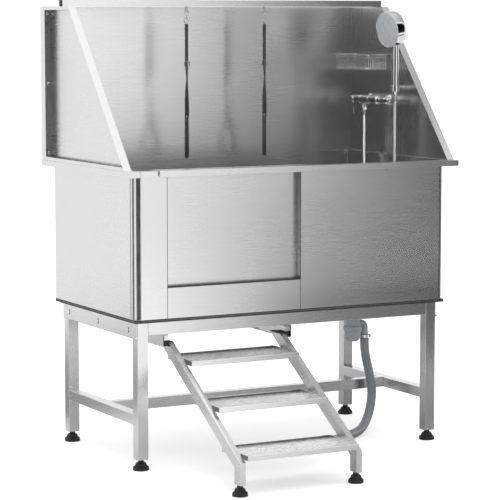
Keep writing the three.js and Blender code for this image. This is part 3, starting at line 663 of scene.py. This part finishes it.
def make_plate_bolts():
    """Dark patches that paint the shade in the slots of the side plates, with a flush bolt in each, and a
    small screw at each front corner.
    """
    radius, half = 3.4, 6.5
    for side, sign in SIDES:
        slots, heads = bmesh.new(), bmesh.new()
        for y, z in ((248.7, 464.8), (6.2, 463.3), (-237.3, 463.6)):
            outline = [at(sign * 580.6, y + radius * math.cos(t),
                          z + (half if math.sin(t) > 0 else -half) + radius * math.sin(t)) for t in turns(20)]
            prism(slots, outline, Vector((sign * 0.00085, 0, 0)))
            nut(heads, at(sign * 581.3, y, z), (sign, 0, 0), 5.2, 0.1, 1.6)
        piece("side_plate_slots_" + side, slots, BLACK, "tub", sharp=24)
        piece("side_plate_bolts_" + side, heads, EDGE, "tub", sharp=24)
    bm = bmesh.new()
    for _, sign in SIDES:
        button_screw(bm, at(sign * 583.4, -302, 444), (0, -1, 0), 2.6, 1.2)
    piece("corner_screws", bm, EDGE, "tub", sharp=24)


make_bar_caps()
make_stringer_plugs()
make_screws()
make_plate_bolts()


# ---- Painted shade in the seams and on the sill, painted reflections on the corners ----
SEAM_LOW, SEAM_HIGH, SEAM_BEAD = 494.4, 505.6, 1.7


def make_seam_shade():
    """Dark beads that paint the shade in the seam round the foot of the tub, at its two front seams and on
    the door's sill, and a dark fold strip that paints the steel in shade inside the foot's seam.
    """
    shade_beads, fold = bmesh.new(), bmesh.new()
    for (xa, ya), (xb, yb) in around(((-596, -325), (596, -325), (596, 335), (-596, 335))):
        out = Vector((yb - ya, xa - xb, 0)).normalized()
        for z in (SEAM_HIGH - SEAM_BEAD, SEAM_LOW + SEAM_BEAD):
            ends = [at(xa, ya, z) - out * 0.0006, at(xb, yb, z) - out * 0.0006]
            sweep(shade_beads, ends, SEAM_BEAD / 1000, sides=10)
        # The fold strip between the two beads paints the steel in shade inside the seam.
        z = (SEAM_LOW + SEAM_HIGH) / 2
        sweep(fold, [at(xa, ya, z) - out * 0.0009, at(xb, yb, z) - out * 0.0009], 0.0026, sides=12)
    # These beads paint the shade along the edges of the door's recess.
    for x in (-480, 21):
        sweep(shade_beads, [at(x, -324.6, SEAM_HIGH), at(x, -324.6, 981)], 0.0011, sides=8)
    # This block paints the shade on the door's sill, in the recess under the door.
    block(shade_beads, at(-478.4, -322, 606.3), at(19.4, -299, 609.6), 0.0012)
    piece("tub_seam_shade_beads", shade_beads, SEAM_SHADE, "tub", sharp=40)
    piece("tub_seam_shade_strip", fold, STEEL_SHADE, "tub", sharp=40)


def make_corner_painted_strips():
    """Dark strips on each front corner of the skins: two on the bend that paint its dark reflection stripes,
    and a thin one behind it.
    """
    radius, low, high = 22, 507, 972

    def on_bend(sign, reach, t):
        return at(sign * (596 - radius + reach * math.cos(t)), -325 + radius - reach * math.sin(t), low)

    for side, sign in SIDES:
        bm = bmesh.new()
        for first, last in ((2, 23), (46, 82)):
            bend = [math.radians(first + (last - first) * i / 8) for i in range(9)]
            outer, inner = ([on_bend(sign, reach, t) for t in bend] for reach in (radius + 0.5, radius - 0.2))
            prism(bm, outer + inner[::-1], up((high - low) / 1000))
        block(bm, at(sign * 595.8, -290, low), at(sign * 596.5, -287.4, high), 0.0002)
        piece("corner_painted_strips_" + side, bm, STEEL_SHADE, "tub", sharp=40)


make_seam_shade()
make_corner_painted_strips()


# ---- Hammered tread plates ----
PIP_HEIGHT, PIP_PITCH = 0.8, 12.0
PIP_FADE = 6  # the distance from a plate's edge within which the pips sink
PLATE_DROP, PLATE_THICK = 7, 0.8  # from a tray's edge down to its plate, and on to the plate's underside
TREADS = {"top": (-432, 376), "middle": (-626, 254.5), "bottom": (-820, 133)}


def make_tread_plates():
    """Pressed anti-slip plates with staggered pips, in the trays of the three treads."""
    x0, x1 = -442.4, -45.6
    columns, rows = 132, 58
    for place, (front, top) in TREADS.items():
        y0, y1 = front + 2.3, front + 177.7
        level = top - PLATE_DROP
        bm = bmesh.new()
        grid = []
        for j in range(rows + 1):
            line = []
            for i in range(columns + 1):
                x = x0 + (x1 - x0) * i / columns
                y = y0 + (y1 - y0) * j / rows
                u, v = (x - x0) / PIP_PITCH, (y - y0) / PIP_PITCH
                pip = math.cos(math.pi * (u + v)) * math.cos(math.pi * (u - v))
                edge = min(x - x0, x1 - x, y - y0, y1 - y)
                height = PIP_HEIGHT * max(pip, 0) ** 1.2 * min(edge / PIP_FADE, 1)
                line.append(bm.verts.new(at(x, y, level + height)))
            grid.append(line)
        for line, behind in zip(grid, grid[1:]):
            for i in range(columns):
                bm.faces.new((line[i], line[i + 1], behind[i + 1], behind[i]))
        rim = (grid[0][:-1] + [line[-1] for line in grid[:-1]]
               + grid[-1][:0:-1] + [line[0] for line in grid[:0:-1]])
        under = at(0, 0, level - PLATE_THICK).z
        low = add_verts(bm, [Vector((vert.co.x, vert.co.y, under)) for vert in rim])
        for (rim_a, rim_b), (low_a, low_b) in zip(around(rim), around(low)):
            bm.faces.new((rim_b, rim_a, low_a, low_b))
        bm.faces.new(low)
        piece("tread_plate_" + place, bm, HAMMERED, "stair", sharp=70)


def make_tread_painted_darks():
    """Dark plates that paint the shade in the open ends of the treads' front folds, and a dark strip that
    paints the dark reflection in the back wall of each tray.
    """
    for place, (front, top) in TREADS.items():
        bm = bmesh.new()
        for x in (-445.4, -43.4):
            block(bm, at(x, front + 1.8, top - 16.8), at(x + 0.8, front + 54, top - 1.6), 0.0003, 1)
        # This strip paints the dark reflection in the tray's back wall.
        block(bm, at(-440, front + 176.6, top - 6.9), at(-48, front + 178.4, top - 1.2), 0.0003, 1)
        piece("tread_painted_darks_" + place, bm, STEEL_SHADE, "stair", sharp=40)


make_tread_plates()
make_tread_painted_darks()


# ---- Levelling feet ----
def make_foot(node, body, x, y, radius):
    """Ribbed bell pad, swivel neck and collar, with a steel stem and lock nut under the leg. Millimetres."""
    bm = bmesh.new()
    centre = at(x, y, 0)
    scale = radius / 27  # the profile's own radius
    profile = [(0, 25.2), (0.7, 26.6), (2.2, 27), (9.8, 27), (11.4, 26.2), (12.4, 24), (13.2, 20.6),
               (14.4, 18.4), (18, 17.6), (23, 17), (25.2, 16), (26.4, 13.5), (26.8, 8.6)]
    lathe(bm, centre, (0, 0, 1), [(h, r * scale) for h, r in profile], 36)
    for t in turns(12):
        rib = [centre + heading(t) * (r * scale / 1000) + up(z / 1000)
               for r, z in ((24.6, 12), (19.6, 14.2), (17.6, 18.6), (17, 22.8))]
        sweep(bm, rib, 0.0013, sides=8)
    nut(bm, centre, (0, 0, 1), 17.6, 26.6, 34.2)
    pad = piece(node + "_bell_pad", bm, BLACK, body, sharp=28)
    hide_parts(node)
    stem = bmesh.new()
    thread = [(26 + 29.5 * i / 47, 5.0 if i % 2 else 4.5) for i in range(48)]
    lathe(stem, centre, (0, 0, 1), thread, 20)
    piece(node + "_bell_stem", stem, EDGE, body, sharp=75)


for fore, y in (("front", -283), ("back", 283)):
    for side, x in (("left", -560), ("right", 560)):
        make_foot(f"foot_{fore}_{side}", f"{fore}_{side}_foot", x, y, 27)
for side, x in (("left", -455), ("right", -33)):
    make_foot(f"stair_foot_{side}", f"{side}_stair_foot", x, -785, 25)


# ---- Mixer ----
PANEL_X = 607.7  # inner face of the right splash panel
MIXER_X, MIXER_Z = 555, 1190
MIXER = at(MIXER_X, 0, MIXER_Z)


def make_mixer():
    bm = bmesh.new()
    lathe(bm, MIXER, (0, 1, 0), [
        (42.2, 11), (42.2, 13.2), (43.4, 14.4), (46, 15.8), (50, 16.8), (60, 17), (96, 17), (98, 15.9),
        (101, 15.9), (103, 17), (156, 17), (158, 15.9), (161, 15.9), (163, 17), (197, 17), (201, 16.4),
        (205, 14.6), (206.6, 13.2), (206.8, 11),
    ], 40)
    for y in (58, 190):
        wall = at(PANEL_X, y, MIXER_Z)
        lathe(bm, wall, (-1, 0, 0), [
            (0.2, 19.5), (0.8, 21), (2.2, 21), (3.6, 20.4), (6.4, 18.4), (9.4, 15.5), (11.5, 13.4),
            (14, 12.4), (20, 12), (38, 12), (52, 12),
        ], 36)
        nut(bm, wall, (-1, 0, 0), 26, 12.4, 22.4)
    outlet = at(MIXER_X, 148, MIXER_Z)
    lathe(bm, outlet, (0, 0, -1), [(0, 9), (20, 9), (23, 9.6), (25, 11.4), (29, 11.8)], 32)
    nut(bm, outlet, (0, 0, -1), 22, 28.4, 38.4)
    lathe(bm, outlet, (0, 0, -1), [(38, 9.8), (42, 8.6), (44, 7.4), (54, 6.8), (56, 6.4)], 28)
    mixer = piece("mixer_tube", bm, CHROME, "tub", sharp=26)
    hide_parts("mixer_body")


def make_flow_knob():
    """A ribbed turning sleeve with a four-armed cross handle."""
    bm = bmesh.new()
    lathe(bm, MIXER, (0, -1, 0), [
        (-41.4, 10.6), (-40, 12.2), (-32, 12.2), (-30, 11.4), (-26, 11.6), (-20, 13.4), (-10, 13.8),
        (2, 13.8), (8, 12.6), (14, 11.6), (20, 12.6), (26, 12.4), (31, 9.8), (33.4, 5.5), (33.8, 2),
    ], 36)
    centre = MIXER + Vector((0, -0.0205, 0))
    for t in turns(4, start=math.pi / 4):
        out = Vector((math.cos(t), 0, math.sin(t)))
        arm = [centre + out * r for r in (0.006, 0.01, 0.0135, 0.0165, 0.0172)]
        sweep(bm, arm, [0.0042, 0.004, 0.0046, 0.004, 0.0022], sides=16)
    knob = piece("flow_knob_cross", bm, CHROME, "flow_knob", sharp=26)
    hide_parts("mixer_flow_knob")


def make_temperature_lever():
    bm = bmesh.new()
    lathe(bm, MIXER, (0, 1, 0), [
        (207.3, 10.8), (208.6, 12.2), (211, 12.6), (214, 14.2), (228, 14.2), (230.4, 13), (231.6, 10.6),
        (232, 6), (232.1, 1),
    ], 36)
    hub = at(MIXER_X, 223, MIXER_Z)
    rod = [hub + up(-z / 1000) for z in (8, 14, 22, 36, 48, 54, 57.4, 58)]
    sweep(bm, rod, [0.0048, 0.0044, 0.0034, 0.003, 0.0034, 0.0036, 0.0028, 0.0012], sides=18)
    lever = piece("temperature_lever_rod", bm, CHROME, "temperature_lever", sharp=26)
    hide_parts("mixer_temperature_lever")


make_mixer()
make_flow_knob()
make_temperature_lever()


# ---- Hand shower and its holder ----
HAND_X, HAND_Y, HAND_LOW = 548, -75, 1214
CLIP_Z = 1236
ROSE_Y = 20
HOLDER_REACH = 27  # from the handset's axis to the end of the clip's stub
HEAD_NORMAL = Vector((-0.985, -0.096, -0.154)).normalized()
HEAD_CENTRE = at(512, -75, 1443.5) - HEAD_NORMAL * 0.014


def make_holder():
    cup = at(HAND_X, HAND_Y, CLIP_Z)
    rose = at(PANEL_X - 8, ROSE_Y, CLIP_Z)
    along = (rose - cup).normalized()
    reach = (rose - cup).length * 1000
    bm = bmesh.new()
    lathe(bm, at(PANEL_X, ROSE_Y, CLIP_Z), (-1, 0, 0), [
        (0.2, 13.2), (0.8, 14), (3, 14), (4.6, 13.4), (6.4, 11.6), (7.8, 8.6),
    ], 36)
    lathe(bm, cup, along, [
        (HOLDER_REACH, 6.8), (HOLDER_REACH + 0.8, 8), (HOLDER_REACH + 8, 8), (HOLDER_REACH + 10, 7),
        (reach - 6, 7), (reach + 1, 7.6),
    ], 32)
    bracket = piece("holder_rose", bm, CHROME, "tub", sharp=26)
    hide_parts("holder_bracket")
    bm = bmesh.new()
    lathe(bm, cup, along, [(14, 7.4), (18, 7.6), (22, 7.2), (25.4, 7.9), (26.2, 7.8), (26.7, 6.8)], 32)
    washer(bm, cup, (0, 0, 1), 13.5, 16.4, -11, 11, 1)
    clip = piece("holder_cup", bm, CHROME, "shower", sharp=30)
    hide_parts("holder_clip")


def make_handset():
    axis = Vector((0, 0, 1))
    bm = bmesh.new()
    low = at(HAND_X, HAND_Y, HAND_LOW)
    lathe(bm, low, axis, [
        (0, 7.6), (0.6, 8.6), (3, 9), (8, 9.6), (16, 10.8), (26, 12), (34, 12.6), (60, 12.9),
        (110, 12.9), (140, 12.4), (160, 11.8), (176, 11.4), (184, 10.6),
    ], 36)
    neck = [low + Vector((x / 1000, 0, z / 1000)) for x, z in ((0, 158), (-0.6, 170), (-3, 182), (-7, 194))]
    neck_points, _ = smooth_curve(neck, 0.004)
    sweep(bm, neck_points, 0.0118, sides=32)
    lathe(bm, HEAD_CENTRE, HEAD_NORMAL, [
        (-29.8, 10), (-29.6, 42), (-29, 52), (-27.4, 57.5), (-24.4, 61), (-19, 63), (-12, 63.5), (12, 63.5),
        (13.4, 63.2), (14, 62.4), (13.4, 61.6), (12.6, 61.2),
    ], 64)
    handset = piece("handset_shell", bm, CHROME, "shower", sharp=34)
    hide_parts("handset")

    bm = bmesh.new()
    lathe(bm, HEAD_CENTRE, HEAD_NORMAL, [
        (9, 61), (13.2, 61), (13.8, 60.4), (14.1, 56), (14.5, 40), (14.7, 22), (14.8, 2),
    ], 64)
    u, v = basis(HEAD_NORMAL)
    for count, radius in ((1, 0), (6, 9), (12, 18), (18, 27), (24, 36), (30, 45), (36, 52)):
        lift = 14.75 - 0.9 * (radius / 50) ** 2  # the face's own dome
        for spot in circle(HEAD_CENTRE, u, v, radius / 1000, count, start=radius * 0.02):
            lathe(bm, spot, HEAD_NORMAL, [
                (lift - 1, 1.6), (lift, 1.5), (lift + 0.5, 1.1), (lift + 0.6, 0.6), (lift + 0.2, 0.4),
            ], 8)
    piece("handset_spray_face", bm, SPRAY_FACE, "shower", sharp=40)

    bm = bmesh.new()
    lathe(bm, low, axis, [
        (-30, 6.6), (-28.5, 7.2), (-24, 7.4), (-12, 8.2), (-3, 8.8), (-0.8, 8.6), (-0.3, 7.8),
    ], 32)
    piece("hose_cone_nut", bm, CHROME, "shower", sharp=30)


make_holder()
make_handset()


# ---- Wire basket ----
def make_basket():
    x0, x1, y0, y1, z0, z1 = 508.6, 601.4, 58.6, 285.4, 1299.6, 1352.4
    thick, thin, corner, pitch = 0.0016, 0.0011, 10, 8.4
    margin = 11  # from a wall to the first wire beside it
    bm = bmesh.new()

    def loop(inset, z, radius):
        left, right = x0 + inset + corner, x1 - inset - corner
        front, back = y0 + inset + corner, y1 - inset - corner
        points = []
        for cx, cy, start in ((right, back, 0), (left, back, 90), (left, front, 180), (right, front, 270)):
            for t in (math.radians(start + 18 * k) for k in range(6)):
                points.append(at(cx + corner * math.cos(t), cy + corner * math.sin(t), z))
        sweep(bm, points, radius, sides=10, closed=True)

    def spread(low, high):
        """Places of the wires between two walls."""
        room = high - low - 2 * margin
        count = int(room / pitch)
        return [low + margin + room * i / count for i in range(count + 1)]

    def wire(points, radius, sides=8):
        sweep(bm, [at(*point) for point in points], radius, sides)

    loop(0, z1, thick)
    loop(0, z1 - 9, thin)
    loop(1.5, z0 + 4, thick)
    wall = ((2.6, z1), (2.6, z0 + 6), (4.2, z0 + 2.2), (8, z0 + 0.8))
    for y in spread(y0, y1):
        down = [(x0 + inset, y, z) for inset, z in wall]
        wire(down + [(x1 - inset, y, z) for inset, z in wall[::-1]], thin)
    for x in spread(x0, x1):
        for y, way in ((y0 + 2.6, 1), (y1 - 2.6, -1)):
            wire([(x, y, z1), (x, y, z0 + 6), (x, y + 2.2 * way, z0 + 2.6), (x, y + 9 * way, z0 + 1.8)], thin)
    for x in (x0 + 30, x1 - 30):
        wire([(x, y0 + 6, z0 + 2.8), (x, y1 - 6, z0 + 2.8)], thick, sides=10)
    basket = piece("basket_wires", bm, CHROME, "tub", sharp=50)
    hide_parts("basket")

    bm = bmesh.new()
    block(bm, at(603.2, 162, 1337), at(607.6, 227, 1356), 0.0006)
    outline = [at(x, y, 1354.6) for x, y in ((600.2, 166), (606, 166), (606, 223), (600.2, 223))]
    prism(bm, outline, up(0.0014), 0.0004)
    block(bm, at(599, 166, 1345), at(600.4, 223, 1356), 0.0004)
    for y in (176, 213):
        button_screw(bm, at(603.4, y, 1341.5), (-1, 0, 0), 3.6, 1.6)
    block(bm, at(x0 + 2, y0 - 1.2, z1 - 5.5), at(x0 + 38, y0 + 1.6, z1 + 1.2), 0.0006)
    hook = ((28, -1.2, -5), (28, -1.4, -24), (29.5, -1.4, -28), (33, -1.4, -29.5), (66, -1.4, -29.5))
    sweep(bm, [at(x0 + x, y0 + y, z1 + z) for x, y, z in hook], thin * 1.2, sides=8)
    piece("basket_hanger", bm, CHROME, "tub", sharp=26)


make_basket()


# ---- Drain ----
DRAIN_X, DRAIN_Y, OUTLET_X = 385, -60, 435


def make_drain():
    seat, outlet, axis = at(DRAIN_X, DRAIN_Y, 0), at(OUTLET_X, DRAIN_Y, 0), (0, 0, 1)
    bm = bmesh.new()
    lathe(bm, seat, axis, [
        (335.4, 8), (335.2, 17), (337, 20.6), (341, 24), (346, 27.4), (352, 29.2), (371, 29.8), (373, 32.4),
        (376, 33), (386, 33), (389, 32.4), (391, 29.4), (397, 27.2), (403, 26), (443, 26), (447, 28.4),
        (451, 31), (468, 33.4), (474, 37.6), (480, 41.2), (486, 42), (489, 42),
    ], 40)
    for t in turns(20):
        rib = [seat + heading(t) * 0.0322 + up(z / 1000) for z in (375.5, 377, 385, 386.5)]
        sweep(bm, rib, [0.0006, 0.0015, 0.0015, 0.0006], sides=8)
    elbow = [at(x, DRAIN_Y, z) for x, z in (
        (DRAIN_X + 16, 398), (DRAIN_X + 30, 398), (OUTLET_X - 9, 396.4), (OUTLET_X - 2.4, 390.6),
        (OUTLET_X, 382), (OUTLET_X, 366), (OUTLET_X, 341.6),
    )]
    elbow_points, _ = smooth_curve(elbow, step=0.003)
    sweep(bm, elbow_points, 0.0122, sides=28)
    lathe(bm, outlet, axis, [(360, 12.3), (361, 13.6), (364, 13.8), (366, 13.4), (367, 12.2)], 28)
    trap = piece("trap_bottle", bm, TRAP, "tub", sharp=30)
    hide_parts("drain_trap")

    bm = bmesh.new()
    lathe(bm, outlet, axis, [
        (333.5, 15.4), (335, 16), (344, 15.6), (346, 14.8), (357.4, 14.2), (358.6, 13.4),
    ], 32)
    piece("hose_cuff", bm, HOSE, "tub", sharp=40)

    bm = bmesh.new()
    washer(bm, outlet, axis, 14.4, 16.6, 345, 355, 0.4)
    for i in range(30):
        tooth = outlet + heading(math.radians(60 + 8 * i)) * 0.01665
        sweep(bm, [tooth + up(z / 1000) for z in (347.4, 352.6)], 0.00045, sides=6)
    block(bm, at(OUTLET_X + 14.2, DRAIN_Y - 6.4, 344.4), at(OUTLET_X + 21, DRAIN_Y + 4.4, 355.6), 0.0009)
    screw = at(OUTLET_X + 18, DRAIN_Y - 6, 350)
    lathe(bm, screw, (0, -1, 0), [(0, 3.4), (2.6, 3.4), (3.2, 2.9)], 24)
    nut(bm, screw, (0, -1, 0), 6.2, 3, 6.4)
    hose_clamp = piece("worm_clamp", bm, EDGE, "tub", sharp=28)
    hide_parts("drain_hose_clamp")

    bm = bmesh.new()
    lathe(bm, seat, axis, [
        (486.4, 6), (486.2, 22), (488, 26.4), (492, 29.6), (496.4, 30.2), (497.2, 33), (497.2, 41),
        (497.8, 41.8), (498.4, 41.4), (499, 38), (499, 33.6), (498.6, 32.2), (497, 30), (492.4, 27.4),
        (489.4, 24.2), (488.4, 20), (488.2, 6),
    ], 48)
    cup = piece("strainer_cup", bm, EDGE, "strainer", sharp=40)
    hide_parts("drain_strainer")
    bm = bmesh.new()
    # Black discs that paint the shade in the strainer's holes, and a black post at its centre.
    for count, radius in ((1, 0), (6, 6), (12, 12), (18, 18)):
        for t in turns(count):
            spot = seat + heading(t) * (radius / 1000) + up(0.4883)
            lathe(bm, spot, axis, [(0, 1.5), (0.25, 1.5), (0.3, 1.3)], 12)
    lathe(bm, seat, axis, [
        (488.5, 4), (490, 4), (493, 3), (495, 3), (497, 4.6), (498.6, 4.8), (499, 4),
    ], 24)
    piece("strainer_holes", bm, BLACK, "strainer", sharp=40)


make_drain()


# ---- Floor, cards and light ----
def make_floor(name, height, radius, left, right, glow, seen):
    """A pale disc, painted in levels from left to right. The camera sees one, and two light the object."""
    bm = bmesh.new()
    bmesh.ops.create_circle(bm, cap_ends=True, segments=96, radius=radius)
    finish = Finish(name + "_paint", grey(left), 0.8, Emission_Strength=glow, Emission_Color=(1, 1, 1, 1),
                    Specular_IOR_Level=0)
    if left != right:
        across = finish.node("SeparateXYZ", {0: finish.coordinates}).outputs["X"]
        place = finish.ranged(across, 0, 1, -0.9, 0.9)
        finish.paint(place, [(0, grey(left)), (1, grey(right))])
    made = add_object(name, bm, finish.material)
    made.location.z = height
    made.visible_camera = seen
    made.visible_diffuse = made.visible_glossy = made.visible_shadow = not seen


def make_card(name, corner, length, rise, stops):
    """A studio card along X, its brightness changing along its length. Only reflections see it."""
    corner, along, rise = Vector(corner), Vector((length, 0, 0)), Vector(rise)
    bm = bmesh.new()
    card = bm.faces.new(add_verts(bm, (corner, corner + along, corner + along + rise, corner + rise)))
    uv = bm.loops.layers.uv.new("UVMap")
    for loop, place in zip(card.loops, ((0, 0), (1, 0), (1, 1), (0, 1))):
        loop[uv].uv = place
    material = bpy.data.materials.new(name)
    material.use_nodes = True
    tree = material.node_tree
    tree.nodes.clear()
    place, split, ramp, glow, out = (tree.nodes.new("ShaderNode" + kind) for kind in (
        "TexCoord", "SeparateXYZ", "ValToRGB", "Emission", "OutputMaterial"))
    fill_ramp(ramp, [(position, grey(level)) for position, level in stops])
    glow.inputs["Strength"].default_value = 1.0
    tree.links.new(place.outputs["UV"], split.inputs[0])
    tree.links.new(split.outputs["X"], ramp.inputs["Fac"])
    tree.links.new(ramp.outputs["Color"], glow.inputs["Color"])
    tree.links.new(glow.outputs["Emission"], out.inputs["Surface"])
    made = add_object(name, bm, material)
    made.visible_camera = made.visible_shadow = made.visible_diffuse = False


def make_studio():
    """The key light and the white world."""
    data = bpy.data.lights.new("key", "AREA")
    data.shape = "RECTANGLE"
    data.size = data.size_y = 3.0
    data.energy = 60
    made = bpy.data.objects.new("key", data)
    made.location = (-1.5, -2.5, 5)
    made.rotation_euler = (Vector((0, 0, 0.8)) - made.location).to_track_quat("-Z", "Y").to_euler()
    scene.collection.objects.link(made)
    made.visible_camera = False
    world = bpy.data.worlds.new("studio")
    scene.world = world
    world.use_nodes = True
    back = world.node_tree.nodes["Background"]
    back.inputs["Color"].default_value = (1, 1, 1, 1)
    back.inputs["Strength"].default_value = 1.05


FRONT_TONES = (  # x on the tub's front, and the tone that it mirrors there
    (-0.57, 1.4), (-0.44, 1.12), (-0.26, 0.78), (-0.06, 0.38), (0.08, 0.19), (0.3, 0.1), (0.53, 0.08),
)
INSIDE_TONES = ((-0.45, 1.35), (-0.2, 1.22), (-0.06, 1.02), (0.05, 0.32), (0.13, 0.02), (0.35, 0))
END_TONE = 0.04
BELOW_FLOOR = -0.001
NEAR_Y, FAR_Y = -1.25, -3.2  # planes of the cards that the tub's front mirrors
NEAR_START, NEAR_LENGTH, NEAR_OFFSET = -0.2, 3.6, 0.6
FAR_START, FAR_LENGTH, FAR_OFFSET, INSIDE_OFFSET = 0.1, 7, 1.68, 2.03
LOW_SPLIT, CARD_SPLIT = 0.26, 0.8  # heights where one far card ends and the next begins


def panel_ramp(levels, gain, offset, start, length):
    """Card stops with the tones of (x, tone) levels, times a gain, where rays from x meet the card."""
    stops = [((x + offset - start) / length, level * gain) for x, level in levels]
    return [(0, stops[0][1])] + stops + [(1, END_TONE)]


def make_far_card(name, low, height, levels, gain, offset):
    make_card(name, (FAR_START, FAR_Y, low), FAR_LENGTH, (0, 0, height),
              panel_ramp(levels, gain, offset, FAR_START, FAR_LENGTH))


make_floor("floor", 0, 40, 0.93, 0.93, 0.35, True)
make_floor("floor_bounce", -0.0015, 1.5, 0.85, 0.25, 0, False)
make_floor("floor_far", -0.003, 40, 0.93, 0.93, 0.05, False)
make_card("card_near", (NEAR_START, NEAR_Y, BELOW_FLOOR), NEAR_LENGTH, (0, 0, 0.34),
          panel_ramp(FRONT_TONES, 1.1, NEAR_OFFSET, NEAR_START, NEAR_LENGTH))
make_far_card("card_front_low", BELOW_FLOOR, LOW_SPLIT, FRONT_TONES, 1.25, FAR_OFFSET)
make_far_card("card_front_high", LOW_SPLIT, CARD_SPLIT - LOW_SPLIT, FRONT_TONES, 0.8, FAR_OFFSET)
make_far_card("card_inside", CARD_SPLIT, 3.2, INSIDE_TONES, 1, INSIDE_OFFSET)
make_card("card_camera_side", (-6, FAR_Y, BELOW_FLOOR), 5.9, (0, 0, 4.4),
          ((0, 0.03), (0.9, 0.04), (1, 0.25)))
make_card("card_over", (-1.2, -0.8, 2.6), 4, (0, 3, 0),
          ((0, 1.3), (0.42, 1.25), (0.66, 0.55), (1, 0.4)))
make_card("card_behind_left", (-3.2, 0.9, 0.001), 2.9, (0, 1.7, 0), ((0, 0.45), (1, 0.25)))
make_studio()
scene.view_settings.view_transform = "Standard"
scene.view_settings.look = "None"
